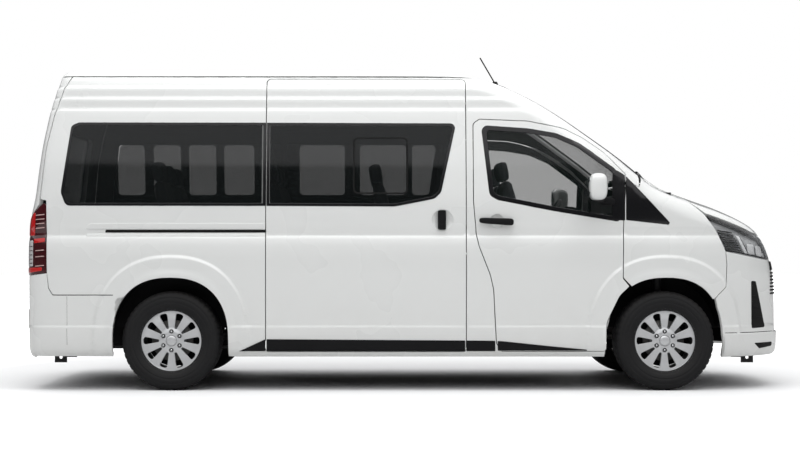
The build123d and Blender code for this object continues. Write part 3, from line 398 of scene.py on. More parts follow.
def inside(points, ring):
    """Whether each point is inside a closed polyline."""
    hit = np.zeros(len(points), dtype=bool)
    x, y = points[:, 0], points[:, 1]
    for (x0, y0), (x1, y1) in zip(ring, np.roll(ring, -1, axis=0)):
        if y0 == y1:
            continue
        crosses = (y0 > y) != (y1 > y)
        hit ^= crosses & (x < (x1 - x0) * (y - y0) / (y1 - y0) + x0)
    return hit


def edge_distance(points, ring):
    best = np.full(len(points), 1e9)
    for a, b in zip(ring, np.roll(ring, -1, axis=0)):
        d = b - a
        t = np.clip(((points - a) @ d) / max(d @ d, 1e-9), 0, 1)
        best = np.minimum(best, np.linalg.norm(points - (a + t[:, None] * d), axis=1))
    return best


def crease_points(low, high):
    """Extra mesh points along the waist step, the roof ribs and the flares, so that they shade cleanly."""
    out = []
    for z in (1060, 1085, 1097, 1108, 1118, 1134, 1150, 1182, 1210, 1995, 2012, 2021, 2030, 2045, 2070, 2096,
              2106,
              2116, 2130, 2155, 2178, 2188, 2198, 2212, 2230, 262, 300, 372, 448, 462, 474, 490):
        if low[1] < z < high[1]:
            x = np.arange(low[0] + 12, high[0], 26.0)
            out.append(np.column_stack([x, np.full(len(x), float(z))]))
    for axle in (FRONT_AXLE_X, REAR_AXLE_X):
        for scale in (1.02, 1.05, 1.09, 1.13, 1.17, 1.27, 1.30, 1.323, 1.347, 1.37, 1.40):
            t = np.linspace(0, math.pi, int(70 * scale))
            c, s = np.cos(t), np.sin(t)
            out.append(np.column_stack([axle + ARCH_WIDTH * scale * np.sign(c) * np.abs(c) ** (2 / 2.3),
                                        AXLE_Z + ARCH_HEIGHT * scale * np.abs(s) ** (2 / 2.3)]))
    out = np.concatenate(out) if out else np.zeros((0, 2))
    return out[((out > low) & (out < high)).all(axis=1)]


def fill(ring, cutters=(), spacing=(34, 20), extra=None):
    """Triangles inside a ring and outside the cutters: plane points and faces."""
    low, high = ring.min(axis=0), ring.max(axis=0)
    su, sv = spacing
    rows = np.arange(low[1] + sv * 0.5, high[1], sv)
    grid = []
    for k, v in enumerate(rows):
        u = np.arange(low[0] + su * (0.25 if k % 2 else 0.75), high[0], su)
        grid.append(np.column_stack([u, np.full(len(u), v)]))
    grid = np.concatenate(grid) if grid else np.zeros((0, 2))
    if extra is not None and len(extra):
        clear = np.ones(len(grid), dtype=bool)
        for start in range(0, len(grid), 400):
            part = grid[start:start + 400]
            apart = np.abs(part[:, None] - extra[None]) / np.array([16.0, 8.0])
            clear[start:start + 400] = (apart.max(axis=2) > 1).all(axis=1)
        grid = np.concatenate([grid[clear], extra])
    keep = inside(grid, ring)
    for cutter in cutters:
        keep &= ~inside(grid, cutter)
    grid = grid[keep]
    for line in (ring, *cutters):
        if len(grid):
            grid = grid[edge_distance(grid, line) > min(0.42 * min(su, sv), 8)]
    stretch = np.array([0.45 if extra is not None else 1.0, 1.0])
    points, edges = [], []
    for line in (ring, *cutters):
        start = len(points)
        points += [Vector(p) for p in line * stretch]
        edges += [(start + i, start + (i + 1) % len(line)) for i in range(len(line))]
    points += [Vector(p) for p in grid * stretch]
    verts, _, faces, _, _, _ = delaunay_2d_cdt(points, edges, [], 0, 1e-3)
    verts = np.array([tuple(v) for v in verts]) / stretch
    faces = np.array([f for f in faces if len(f) == 3])
    if not len(faces):
        raise ValueError("an outline with no faces")
    middle = verts[faces].mean(axis=1)
    keep = inside(middle, ring)
    for cutter in cutters:
        keep &= ~inside(middle, cutter)
    faces = faces[keep]
    a, b, c = (verts[faces[:, i]] for i in range(3))
    area = (b[:, 0] - a[:, 0]) * (c[:, 1] - a[:, 1]) - (c[:, 0] - a[:, 0]) * (b[:, 1] - a[:, 1])
    faces = np.where(area[:, None] > 0, faces, faces[:, ::-1])[np.abs(area) > 1e-3]
    used, faces = np.unique(faces, return_inverse=True)
    return verts[used], faces.reshape(-1, 3)


def new_object(name, points, faces, material, body, normals=None, smooth=True, scale=0.001):
    mesh = bpy.data.meshes.new(name)
    mesh.from_pydata((np.asarray(points) * scale).tolist(), [], [tuple(int(i) for i in f) for f in faces])
    mesh.validate()
    mesh.update()
    if smooth:
        mesh.polygons.foreach_set("use_smooth", np.ones(len(mesh.polygons), dtype=bool))
    if normals is not None:
        mesh.normals_split_custom_set_from_vertices([tuple(n) for n in normals])
    mesh.materials.append(material)
    thing = bpy.data.objects.new(name, mesh)
    collection.objects.link(thing)
    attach(thing, body)
    return thing


def shell(plane, faces, points, normals, thickness, name, material, body, inner_material=None, roll=2.2):
    """A panel with a rolled edge, closed by an inner face at its thickness."""
    count = len(points)
    edge_use = {}
    for f in faces:
        for i in range(3):
            a, b = int(f[i]), int(f[(i + 1) % 3])
            edge_use[(a, b)] = edge_use.get((a, b), 0) + 1
    border = [(a, b) for (a, b) in edge_use if (b, a) not in edge_use]
    outward = np.zeros((count, 3))
    for a, b in border:
        d = points[b] - points[a]
        length = np.linalg.norm(d)
        if length > 1e-6:
            side = np.cross(d / length, (normals[a] + normals[b]) / 2)
            outward[a] += side
            outward[b] += side
    rim = sorted({i for e in border for i in e})
    index = {v: k for k, v in enumerate(rim)}
    out = outward[rim]
    out /= np.maximum(np.linalg.norm(out, axis=1), 1e-6)[:, None]
    points = points.copy()
    points[rim] -= out * roll
    p, n = points[rim], normals[rim]
    rings = [
        (p + out * roll * 0.65 - n * roll * 0.35, (n + out)),
        (p + out * roll - n * roll, out),
        (p + out * roll - n * max(thickness - 1, roll + 0.5), out),
    ]
    all_points, all_normals = [points], [normals]
    for ring_points, ring_normals in rings:
        all_points.append(ring_points)
        all_normals.append(ring_normals / np.linalg.norm(ring_normals, axis=1)[:, None])
    start = [count + k * len(rim) for k in range(3)]
    all_faces = [tuple(f) for f in faces]
    for a, b in border:
        ia, ib = index[a], index[b]
        chain_a = [a] + [s + ia for s in start]
        chain_b = [b] + [s + ib for s in start]
        for k in range(3):
            all_faces.append((chain_a[k], chain_a[k + 1], chain_b[k + 1], chain_b[k]))
    inner_start = count + 3 * len(rim)
    all_points.append(points - normals * thickness)
    all_normals.append(-normals)
    inner_faces = [(int(f[2]) + inner_start, int(f[1]) + inner_start, int(f[0]) + inner_start) for f in faces]
    closing = []
    for a, b in border:
        closing.append((start[2] + index[a], a + inner_start, b + inner_start, start[2] + index[b]))
    thing = new_object(name, np.concatenate(all_points), all_faces + inner_faces + closing, material, body,
                       np.concatenate(all_normals))
    if inner_material is not None:
        thing.data.materials.append(inner_material)
        first = len(all_faces)
        for polygon in thing.data.polygons[first:]:
            polygon.material_index = 1
    return thing


def ring_panel(name, ring, material, body, cutters=(), thickness=40.0, depth=0.0, spacing=(34, 20),
               inner_material=None, roll=2.2, left=False):
    """A piece of the wall from rings in wall distance and height."""
    large = np.ptp(ring[:, 1]) > 300
    extra = crease_points(ring.min(axis=0), ring.max(axis=0)) if large else None
    plane, faces = fill(ring, cutters, spacing, extra)
    points = wall_points(plane[:, 0], plane[:, 1])
    normals = surface_normal(points)
    return finish_panel(plane, faces, points, normals, name, material, body, thickness, depth, left,
                        inner_material, roll)


def finish_panel(plane, faces, points, normals, name, material, body, thickness, depth, left, inner_material,
                 roll):
    points = points - normals * depth
    a, b, c = (points[faces[:, i]] for i in range(3))
    facing = np.einsum("ij,ij->i", np.cross(b - a, c - a), normals[faces[:, 0]])
    if np.median(facing) < 0:
        faces = faces[:, ::-1]
    if left:
        flip = np.array([1, -1, 1])
        points, normals, faces = points * flip, normals * flip, faces[:, ::-1]
    return shell(plane, faces, points, normals, thickness, name, material, body, inner_material, roll)


def end_place(yz, tail=False):
    """Wall distance and height of end-view points (y, z) on the nose or the tail."""
    yz = np.asarray(yz, dtype=float)
    centre = tail_limit(0) if tail else nose_limit(0)
    table = np.linspace(centre, WALL_REAR_X if tail else WALL_NOSE_X, 120)
    out = yz.copy()
    z = np.repeat(yz[:, 1], len(table))
    y = wall_points(np.tile(table, len(yz)), z)[:, 1].reshape(len(yz), len(table))
    for row, line in enumerate(y):
        falling = np.maximum.accumulate(-line)
        place = np.interp(abs(yz[row, 0]), falling, table)
        out[row, 0] = place if yz[row, 0] <= 0 else 2 * centre - place
    return out


def front_panel(name, rows, material, body, cutters=(), thickness=40.0, depth=0.0, spacing=(34, 24),
                inner_material=None, roll=2.2, tail=False):
    """A piece of the surface from its outline in end view (y, z), seen from ahead or from behind."""
    plane, faces = fill(outline(rows), [outline(c) for c in cutters], spacing)
    sign = -1.0 if tail else 1.0
    origin = np.column_stack([np.full(len(plane), sign * 3200.0), plane])
    points = cast(origin, np.tile([-sign, 0.0, 0.0], (len(plane), 1)), 3600)
    normals = surface_normal(points)
    return finish_panel(plane, faces, points, normals, name, material, body, thickness, depth, False,
                        inner_material, roll)


def top_panel(name, ring, material, body, cutters=(), thickness=40.0, depth=0.0, spacing=(36, 32),
              inner_material=None, roll=2.2):
    """A piece of the surface from its plan (x, y)."""
    plane, faces = fill(ring, cutters, spacing)
    origin = np.column_stack([plane, np.full(len(plane), 2700.0)])
    points = cast(origin, np.tile([0.0, 0.0, -1.0], (len(plane), 1)), 2600)
    normals = surface_normal(points)
    return finish_panel(plane, faces, points, normals, name, material, body, thickness, depth, False,
                        inner_material, roll)


# Finishes that several pieces share: moulded and rolled surfaces with grain, slow variation and road dust.
# The effects are one node group that a material sets with its own values.
def node_group(name, inputs, outputs):
    group = bpy.data.node_groups.new(name, "ShaderNodeTree")
    for title, kind, value in inputs:
        socket = group.interface.new_socket(title, in_out="INPUT", socket_type=kind)
        socket.default_value = value
    for title, kind in outputs:
        group.interface.new_socket(title, in_out="OUTPUT", socket_type=kind)
    return group, group.nodes.new("NodeGroupInput"), group.nodes.new("NodeGroupOutput")


def math_node(tree, operation, first, second=None, clamp=False):
    node = tree.nodes.new("ShaderNodeMath")
    node.operation = operation
    node.use_clamp = clamp
    for socket, value in zip(node.inputs, (first, second)):
        if isinstance(value, (int, float)):
            socket.default_value = value
        elif value is not None:
            tree.links.new(value, socket)
    return node.outputs[0]


def noise_node(tree, scale, detail=3.0, vector=None):
    node = tree.nodes.new("ShaderNodeTexNoise")
    node.inputs["Detail"].default_value = detail
    if isinstance(scale, (int, float)):
        node.inputs["Scale"].default_value = scale
    else:
        tree.links.new(scale, node.inputs["Scale"])
    if vector is not None:
        tree.links.new(vector, node.inputs["Vector"])
    return node.outputs["Fac"]


def mix_node(tree, factor, first, second):
    node = tree.nodes.new("ShaderNodeMix")
    node.data_type = "RGBA"
    for socket, value in ((node.inputs["Factor"], factor), (node.inputs["A"], first),
                          (node.inputs["B"], second)):
        if isinstance(value, tuple):
            socket.default_value = value
        elif isinstance(value, (int, float)):
            socket.default_value = value
        else:
            tree.links.new(value, socket)
    return node.outputs["Result"]


def make_grain_group():
    group, taken, given = node_group("moulded_grain", [
        ("Color", "NodeSocketColor", (0.02, 0.02, 0.02, 1)), ("Variation", "NodeSocketFloat", 0.3),
        ("Grain Scale", "NodeSocketFloat", 900.0), ("Roughness", "NodeSocketFloat", 0.5),
        ("Dust", "NodeSocketFloat", 0.1)],
        [("Color", "NodeSocketColor"), ("Roughness", "NodeSocketFloat"), ("Height", "NodeSocketFloat")])
    place = group.nodes.new("ShaderNodeTexCoord").outputs["Object"]
    fine = noise_node(group, taken.outputs["Grain Scale"], 2.0, place)
    broad = noise_node(group, 5.0, 4.0, place)
    darker = mix_node(group, 1.0, taken.outputs["Color"], (0, 0, 0, 1))
    dark = math_node(group, "MULTIPLY", broad, taken.outputs["Variation"])
    shade = mix_node(group, dark, taken.outputs["Color"], darker)
    up = group.nodes.new("ShaderNodeNewGeometry")
    split = group.nodes.new("ShaderNodeSeparateXYZ")
    group.links.new(up.outputs["Normal"], split.inputs[0])
    settled = math_node(group, "MULTIPLY", split.outputs["Z"], taken.outputs["Dust"], True)
    patchy = math_node(group, "MULTIPLY", settled, broad, True)
    dusty = mix_node(group, patchy, shade, (0.30, 0.28, 0.25, 1))
    rough = math_node(group, "ADD", taken.outputs["Roughness"], math_node(group, "MULTIPLY", broad, 0.12))
    group.links.new(dusty, given.inputs["Color"])
    group.links.new(rough, given.inputs["Roughness"])
    group.links.new(fine, given.inputs["Height"])
    return group


grain_group = make_grain_group()


def plastic(name, color, roughness=0.5, grain=900.0, bump=0.15, variation=0.3, dust=0.1, coat=0.0,
            metallic=0.0,
            specular=0.5):
    """Moulded plastic, rubber, cast or rolled metal: a colour with grain, slow variation and a little dust."""
    material = bpy.data.materials.new(name)
    material.use_nodes = True
    tree = material.node_tree
    shader = tree.nodes["Principled BSDF"]
    group = tree.nodes.new("ShaderNodeGroup")
    group.node_tree = grain_group
    group.inputs["Color"].default_value = (*color, 1)
    group.inputs["Variation"].default_value = variation
    group.inputs["Grain Scale"].default_value = grain
    group.inputs["Roughness"].default_value = roughness
    group.inputs["Dust"].default_value = dust
    tree.links.new(group.outputs["Color"], shader.inputs["Base Color"])
    tree.links.new(group.outputs["Roughness"], shader.inputs["Roughness"])
    shader.inputs["Metallic"].default_value = metallic
    shader.inputs["Specular IOR Level"].default_value = specular
    shader.inputs["Coat Weight"].default_value = coat
    shader.inputs["Coat Roughness"].default_value = 0.06
    if bump:
        node = tree.nodes.new("ShaderNodeBump")
        node.inputs["Strength"].default_value = bump
        node.inputs["Distance"].default_value = 0.0006
        tree.links.new(group.outputs["Height"], node.inputs["Height"])
        tree.links.new(node.outputs["Normal"], shader.inputs["Normal"])
    return material


# Body panels: pressed steel sheet, folded over at the edges and painted pearl white with a clear coat. The
# sides are welded to the frame, and a dark liner covers them inside.
def make_paint():
    material = bpy.data.materials.new("pearl_white_paint")
    material.use_nodes = True
    tree = material.node_tree
    shader = tree.nodes["Principled BSDF"]
    place = tree.nodes.new("ShaderNodeTexCoord").outputs["Object"]
    flake = noise_node(tree, 2600.0, 1.0, place)
    cloud = noise_node(tree, 1.3, 3.0, place)
    base = mix_node(tree, cloud, (0.755, 0.768, 0.758, 1), (0.772, 0.782, 0.772, 1))
    split = tree.nodes.new("ShaderNodeSeparateXYZ")
    tree.links.new(place, split.inputs[0])
    # Painted shade: the colour darkens towards the floor below 0.75 m height, in brownish patches set by a
    # noise.
    low = math_node(tree, "SUBTRACT", 0.75, split.outputs["Z"])
    low = math_node(tree, "MULTIPLY", low, 0.35, True)
    painted_low_shade = math_node(tree, "MULTIPLY", low, noise_node(tree, 9.0, 4.0, place), True)
    base = mix_node(tree, painted_low_shade, base, (0.44, 0.42, 0.38, 1))
    tree.links.new(base, shader.inputs["Base Color"])
    rough = math_node(tree, "ADD", 0.26, math_node(tree, "MULTIPLY", cloud, 0.03))
    tree.links.new(rough, shader.inputs["Roughness"])
    shader.inputs["Coat Weight"].default_value = 0.85
    shader.inputs["Coat Roughness"].default_value = 0.05
    node = tree.nodes.new("ShaderNodeBump")
    node.inputs["Strength"].default_value = 0.02
    node.inputs["Distance"].default_value = 0.0002
    tree.links.new(flake, node.inputs["Height"])
    tree.links.new(node.outputs["Normal"], shader.inputs["Normal"])
    return material


paint = make_paint()
liner = plastic("dark_headliner", (0.035, 0.035, 0.034), 0.9, 700, 0.3, dust=0.0)
black_trim = plastic("black_bumper_plastic", (0.008, 0.008, 0.009), 0.55, 800, 0.25, dust=0.03, specular=0.15)
piano_black = plastic("gloss_black_band", (0.006, 0.006, 0.007), 0.08, 300, 0.0, variation=0.2, dust=0.02,
                      coat=0.35)
rubber_seal = plastic("black_rubber_seal", (0.006, 0.006, 0.006), 0.62, 500, 0.2, dust=0.02, specular=0.2)


def make_glass(name, tint, alpha, gloss=0.015):
    """Tinted safety glass: mirror reflections that strengthen at a glance, over a dark see-through pane."""
    material = bpy.data.materials.new(name)
    material.use_nodes = True
    tree = material.node_tree
    shader = tree.nodes["Principled BSDF"]
    place = tree.nodes.new("ShaderNodeTexCoord").outputs["Object"]
    haze = noise_node(tree, 6.0, 4.0, place)
    rough = math_node(tree, "ADD", gloss, math_node(tree, "MULTIPLY", haze, 0.03))
    tree.links.new(rough, shader.inputs["Roughness"])
    shade = mix_node(tree, haze, (*tint, 1), tuple(c * 0.8 for c in tint) + (1,))
    tree.links.new(shade, shader.inputs["Base Color"])
    shader.inputs["Specular IOR Level"].default_value = 0.6
    shader.inputs["IOR"].default_value = 1.5
    weight = tree.nodes.new("ShaderNodeLayerWeight")
    glance = math_node(tree, "POWER", weight.outputs["Facing"], 5.0)
    glance = math_node(tree, "MULTIPLY", glance, 0.9)
    cover = math_node(tree, "ADD", alpha + 0.04, glance, True)
    tree.links.new(cover, shader.inputs["Alpha"])
    return material


privacy_glass = make_glass("privacy_glass", (0.006, 0.008, 0.008), 0.50)
cab_glass = make_glass("tinted_cab_glass", (0.010, 0.016, 0.014), 0.22)
screen_glass = make_glass("windscreen_glass", (0.016, 0.024, 0.022), 0.16)

SHEET = 34.0
DOOR_DEPTH = 62.0
SEAM = 5.5

FRONT_DOOR = [
    (664, 286, 20), (1410, 286, 20), (1410, 490, 200), (1506, 686, 150), (1574, 750, 8), (1528, 806, 20),
    (1536, 1203, 60), (1552, 1556, 10), (1405, 1712, 200), (1258, 1815, 300), (1109, 1888, 300),
    (854, 1938, 300),
    (508, 1952, 34), (464, 1920, 30), (464, 1368, 60), (484, 1128, 200), (504, 1037, 200), (583, 836, 300),
    (608, 727, 200), (628, 344, 60),
]
DOOR_GLASS = [
    (592, 1412, 45), (640, 1384, 60), (1035, 1306, 300), (1496, 1230, 14), (1508, 1540, 14), (1457, 1592, 60),
    (1219, 1766, 200), (1053, 1838, 200), (852, 1872, 200), (536, 1894, 34),
]
SLIDING_REAR_X, SLIDING_FRONT_X = -1026.0, 407.0
SLIDING_DOOR = [(SLIDING_REAR_X, 284, 20), (SLIDING_FRONT_X, 284, 20), (SLIDING_FRONT_X, 2250, 30),
                (SLIDING_REAR_X, 2250, 30)]
SLIDING_GLASS = [(-1000, 1344, 15), (-101, 1336, 200), (172, 1390, 60), (214, 1428, 40), (328, 1914, 25),
                 (-1000, 1918, 15)]
QUARTER_GLASS = [(-2455, 1344, 25), (-1058, 1344, 12), (-1058, 1918, 12), (-2376, 1922, 20),
                 (-2424, 1904, 30),
                 (-2490, 1425, 60)]
CORNER_GLASS = [(1557, 1226, 4), (1886, 1189, 12), (1557, 1544, 4)]


def arch(axle, grow=0.0, low=120.0):
    """A wheel arch as an outline, open downwards through the sill."""
    rows = []
    for k in range(41):
        t = math.pi * k / 40
        c, s = math.cos(t), math.sin(t)
        rows.append((axle - (ARCH_WIDTH + grow) * math.copysign(abs(c) ** 0.84, c),
                     AXLE_Z + (ARCH_HEIGHT + grow) * s ** 0.84, 0))
    return [(axle - ARCH_WIDTH - grow, low, 0), *rows, (axle + ARCH_WIDTH + grow, low, 0)]


side_rows = [
    (-2440, 2268, 0), (-2491, 2184, 200), (-2558, 1981, 600), (-2614, 1742, 600), (-2650, 1374, 20),
    (-2604, 1366, 0), (-2596, 850, 0), (-2582, 740, 10), (-2553, 690, 15), (-2120, 690, 0),
    (-2120, 400, 0), (-2120, 300, 0), (-1240, 243, 0), (1403, 243, 0), (1403, 400, 0), (1480, 700, 0),
    (1480, 1300, 0), (1545, 1512, 0), (1650, 1466, 0),
]


def screen_edge(outset):
    """The windscreen's side edge in side view, from its foot to its top corner."""
    z = np.linspace(1552, 2264, 26)
    y = -806 + 116 * (z - 1545) / 731 - outset
    origin = np.column_stack([np.full(len(z), 3200.0), y, z])
    return cast(origin, np.tile([-1.0, 0.0, 0.0], (len(z), 1)), 3600)[:, [0, 2]]


side_rows += [(x, z, 0) for x, z in screen_edge(9.0)]


def side_outline(rows):
    """The same rows, ready for the wall."""
    return wall_place(outline(rows, 30.0))


for side, left in (("right", False), ("left", True)):
    holes = [side_outline(QUARTER_GLASS), side_outline(offset_rows(FRONT_DOOR, -SEAM)),
             side_outline(arch(REAR_AXLE_X))]
    holes.append(side_outline(SLIDING_GLASS if left else offset_rows(SLIDING_DOOR, -SEAM)))
    ring = side_outline(side_rows)
    panel = ring_panel(f"body_side_sheet_{side}", ring, paint, "body", holes, SHEET, left=left,
                       spacing=(38, 22),
                       inner_material=liner)
    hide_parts(f"body_side_{side}")

# Front doors: pressed outer skins on deep frames, hung on two hinges at the front edge. Each has a drop glass
# in a black frame.
def oval(x, z, rx, rz):
    turns = np.linspace(0, 2 * math.pi, 33)[:-1]
    return np.column_stack([x + rx * np.cos(turns), z + rz * np.sin(turns)])


door_trim = plastic("dark_door_trim", (0.045, 0.045, 0.048), 0.7, 600, 0.3)
for side, left in (("right", False), ("left", True)):
    body = f"front_door_{side}"
    ring, hole = side_outline(FRONT_DOOR), side_outline(DOOR_GLASS)
    panel = ring_panel(f"front_door_{side}_sheet", ring, paint, body, [hole, oval(630, 1216, 47, 51)],
                       DOOR_DEPTH, left=left,
                       spacing=(36, 22), inner_material=door_trim)
    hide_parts(f"door_{side}_panel")
    frame_ring = ring_panel(
        f"front_door_{side}_glass_frame", side_outline(offset_rows(DOOR_GLASS, -17)), piano_black, body,
        [side_outline(offset_rows(DOOR_GLASS, 17))], 12, depth=-1.2, left=left, spacing=(60, 40))
    corner = ring_panel(f"front_door_{side}_corner", side_outline([(1452, 1224, 3), (1549, 1222, 3),
                                                                   (1549, 1548, 3),
                                                                   (1462, 1604, 40)]),
                        piano_black, body, [], 8, depth=-2, left=left, spacing=(60, 40))
    pane = ring_panel(f"front_door_{side}_drop_glass", side_outline(offset_rows(DOOR_GLASS, 13)), cab_glass,
                      body, [],
                      5, depth=5, left=left, spacing=(60, 40))
    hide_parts(f"door_{side}_window")

# Sliding door and the long window band: the door is one pressed panel over most of the side's height. The
# bonded panes run flush past the pillars as one black band, with a printed black border.
slider = ring_panel("sliding_door_sheet", side_outline(SLIDING_DOOR), paint, "body",
                    [side_outline(SLIDING_GLASS), oval(240, 1226, 76, 72)], DOOR_DEPTH, spacing=(38, 20),
                    inner_material=liner)
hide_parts("sliding_door_panel")
QUARTER_BAND = [(-2462, 1328, 45), (-1028.5, 1326, 4), (-1028.5, 1929, 4), (-2380, 1931, 30),
                (-2434, 1908, 40),
                (-2500, 1424, 80)]
SLIDING_BAND = [(-1023.5, 1326, 4), (-101, 1322, 200), (184, 1378, 70), (230, 1424, 50), (340, 1924, 35),
                (-1023.5, 1929, 4)]
# (rear edge, front edge, lean of the front edge) of the clear parts of the left side's panes
FAR_PANES = [(-2440, -2212, 0), (-2135, -1905, 0), (-1836, -1606, 0), (-1538, -1282, 0), (-898, -514, 0),
             (-386, 6, 0), (57, 200, 60)]
for side, left in (("right", False), ("left", True)):
    for label, band in (("quarter", QUARTER_BAND), ("sliding", SLIDING_BAND)):
        clear = [offset_rows(band, 20)]
        if left:
            clear = [[(a, 1488, 34), (b, 1488, 34), (b + lean, 1908, 34), (a, 1908, 34)]
                     for a, b, lean in (FAR_PANES[:4] if label == "quarter" else FAR_PANES[4:])]
        border = ring_panel(f"{label}_glass_border_{side}", side_outline(band), piano_black, "body",
                            [side_outline(c) for c in clear], 7, depth=-2.5, left=left, spacing=(70, 50))
        pane = ring_panel(f"{label}_glass_{side}", side_outline(offset_rows(band, 16)), privacy_glass,
                          "body", [],
                          5, depth=-0.5, left=left, spacing=(70, 50))
        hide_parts("sliding_door_window" if label == "sliding" and not left else "side_windows")
VENT_PANE = [(-402, 1412, 34), (-8, 1412, 34), (-8, 1822, 34), (-402, 1822, 34)]
vent_frame = ring_panel("sliding_glass_vent_frame", side_outline(VENT_PANE), rubber_seal, "body",
                        [side_outline(offset_rows(VENT_PANE, 11))], 5, depth=-3, spacing=(60, 60))
for side, left in (("right", False), ("left", True)):
    sail = ring_panel(f"corner_sail_{side}", side_outline(CORNER_GLASS), piano_black, "body", [], 8, depth=-1,
                      left=left, spacing=(50, 40))

# Roof: one wide steel pressing above the side seams, crowned across and curved down to the windscreen. It is
# welded to the sides under a painted bead of sealer.
def level_ring(z):
    """The body's outline at one height, half of it, from the tail's centre line to the nose's."""
    start, way = [], []
    for y in np.linspace(0, -500, 12)[:-1]:
        start.append((-3300, y)), way.append((1, 0))
    for a in np.linspace(0, math.pi / 2, 16)[:-1]:
        d = (math.cos(a), math.sin(a))
        start.append((-2200 - d[0] * 1200, -500 - d[1] * 1200)), way.append(d)
    for x in np.arange(-2200, 0, 60):
        start.append((x, -1700)), way.append((0, 1))
    for a in np.linspace(math.pi / 2, math.pi, 22)[:-1]:
        d = (math.cos(a), math.sin(a))
        start.append((0 - d[0] * 1500, -300 - d[1] * 1500)), way.append(d)
    for y in np.linspace(-300, 0, 9):
        start.append((1500, y)), way.append((-1, 0))
    start, way = np.array(start, dtype=float), np.array(way, dtype=float)
    origin = np.column_stack([start, np.full(len(start), float(z))])
    return cast(origin, np.column_stack([way, np.zeros(len(way))]), 1600)[:, :2]


def whole_ring(half):
    other = half[1:-1][::-1] * np.array([1, -1])
    return np.concatenate([half, other])


roof = top_panel("roof_sheet", whole_ring(level_ring(2276)), paint, "body", thickness=SHEET, spacing=(60, 50),
                 inner_material=liner)
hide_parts("roof_panel")
channel = top_panel("roof_seam_sealer", whole_ring(level_ring(2266)), rubber_seal, "body",
                    [whole_ring(level_ring(2283))], 5, depth=7, spacing=(120, 120))

# Windscreen: one curved pane of laminated glass that is bonded into the front opening. A printed black
# border hides the bond.
SCREEN = [(-806, 1545, 60), (806, 1545, 60), (690, 2272, 40), (-690, 2272, 40)]
screen_border = front_panel("windscreen_border", SCREEN, piano_black, "body", [offset_rows(SCREEN, 34)], 6,
                            depth=0.5,
                            spacing=(80, 60))
screen = front_panel("windscreen_pane", offset_rows(SCREEN, 30), screen_glass, "body", [], 6, depth=3,
                     spacing=(70, 50))
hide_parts("windscreen")

# Bonnet: a short lid of pressed steel over the engine, painted like the body. Two hinges hold it at the
# windscreen end.
BONNET_EDGE = [(1875, 1450), (2003, 1388), (2137, 1276), (2521, 1139), (2642, 1103), (2720, 1090)]


def nose_line(rows, last_s, step=30.0):
    """Plan points (x, y) along a side-view line that runs on round the nose at its last height."""
    line = wall_place(np.array(rows, dtype=float))
    line = line[line[:, 0] < last_s - 20]
    line = np.vstack([line, [last_s, rows[-1][1]]])
    dense = []
    for a, b in zip(line[:-1], line[1:]):
        count = max(1, int(np.linalg.norm(b - a) / step))
        dense += [a + (b - a) * k / count for k in range(count)]
    dense = np.array(dense + [line[-1]])
    return wall_points(dense[:, 0], dense[:, 1])[:, :2]


bonnet_half = nose_line(BONNET_EDGE, nose_limit(0))
bonnet = top_panel("bonnet_sheet", whole_ring(np.vstack([[1875.0, 0.0], [1875.0, -250.0], [1875.0, -500.0],
                                                         [1875.0, -700.0], bonnet_half])),
                   paint, "bonnet", thickness=26, spacing=(40, 40), inner_material=black_trim)
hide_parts("bonnet_panel")

# Front wings: painted steel pressings between the doors, the bonnet and the front bumper. They are bolted on
# round the wheel arch.
FENDER = [
    (1586, 757, 0), (1533.5, 812, 10), (1541.5, 1203, 0), (1557, 1509, 0), (1652, 1462, 0), (1694, 1543, 0),
    (1868, 1445, 10), (2000, 1381, 30), (2130, 1262, 10), (2217, 1140, 300), (2279, 1002, 0),
    (2285, 910, 100),
    (2280, 746, 40), (2195, 664, 0), (1840, 500, 0),
]
for side, left in (("right", False), ("left", True)):
    wing = ring_panel(f"front_wing_{side}", side_outline(FENDER), paint, "body",
                      [side_outline(arch(FRONT_AXLE_X)), side_outline(offset_rows(CORNER_GLASS, -1.5))], 12,
                      left=left, spacing=(30, 20), inner_material=black_trim)
    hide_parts("front_fenders")

# Front bumper: a moulded plastic cover in body colour from wheel arch to wheel arch. It is clipped to the
# wings and to a beam behind it.
grille_ring = end_place(outline([(-424, 470, 60), (424, 470, 60), (480, 1078, 30), (-480, 1078, 30)], 26))
front_arch = side_outline(arch(FRONT_AXLE_X))


def other_half(ring, centre):
    out = ring[::-1].copy()
    out[:, 0] = 2 * centre - out[:, 0]
    return out


bumper_line = [(2284, 246, 0), (2202, 664, 0), (2286, 746, 40), (2291, 910, 100), (2285, 998, 0),
               (2575, 944, 60)]
half = wall_place(outline(bumper_line + [(2900, 916, 0), (2900, 246, 0)], 26))
half = np.array([p for p in half if p[0] < nose_limit(0) - 12])
lower = [p for p in half if p[1] < 247]
upper = [p for p in half if p[1] >= 247]
order = np.argsort([p[0] for p in lower])
lower = np.array(lower)[order][::-1]
bumper_half = np.vstack([[nose_limit(0), 246.0], lower, upper, [nose_limit(0), 916.0]])
bumper = ring_panel("front_bumper_cover", across(bumper_half, nose_limit(0)), paint, "body",
                    [grille_ring, front_arch, other_half(front_arch, nose_limit(0))],
                    30, spacing=(36, 24), inner_material=black_trim)
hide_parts("front_bumper")

# Grille: a gloss-black plastic moulding with thin level bars and a bright rim, clipped into the nose between
# the lamps. There is no badge.
grille_back = ring_panel("grille_back", end_place(outline([(-430, 464, 60), (430, 464, 60), (486, 1084, 30),
                                                           (-486, 1084, 30)], 30)), piano_black, "body", [],
                                                           6,
                         depth=30, spacing=(40, 30))
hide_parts("grille")


def bar_ring(z, half, height):
    return end_place(outline([(-half, z, 2), (half, z, 2), (half, z + height, 2), (-half, z + height, 2)],
                             30))


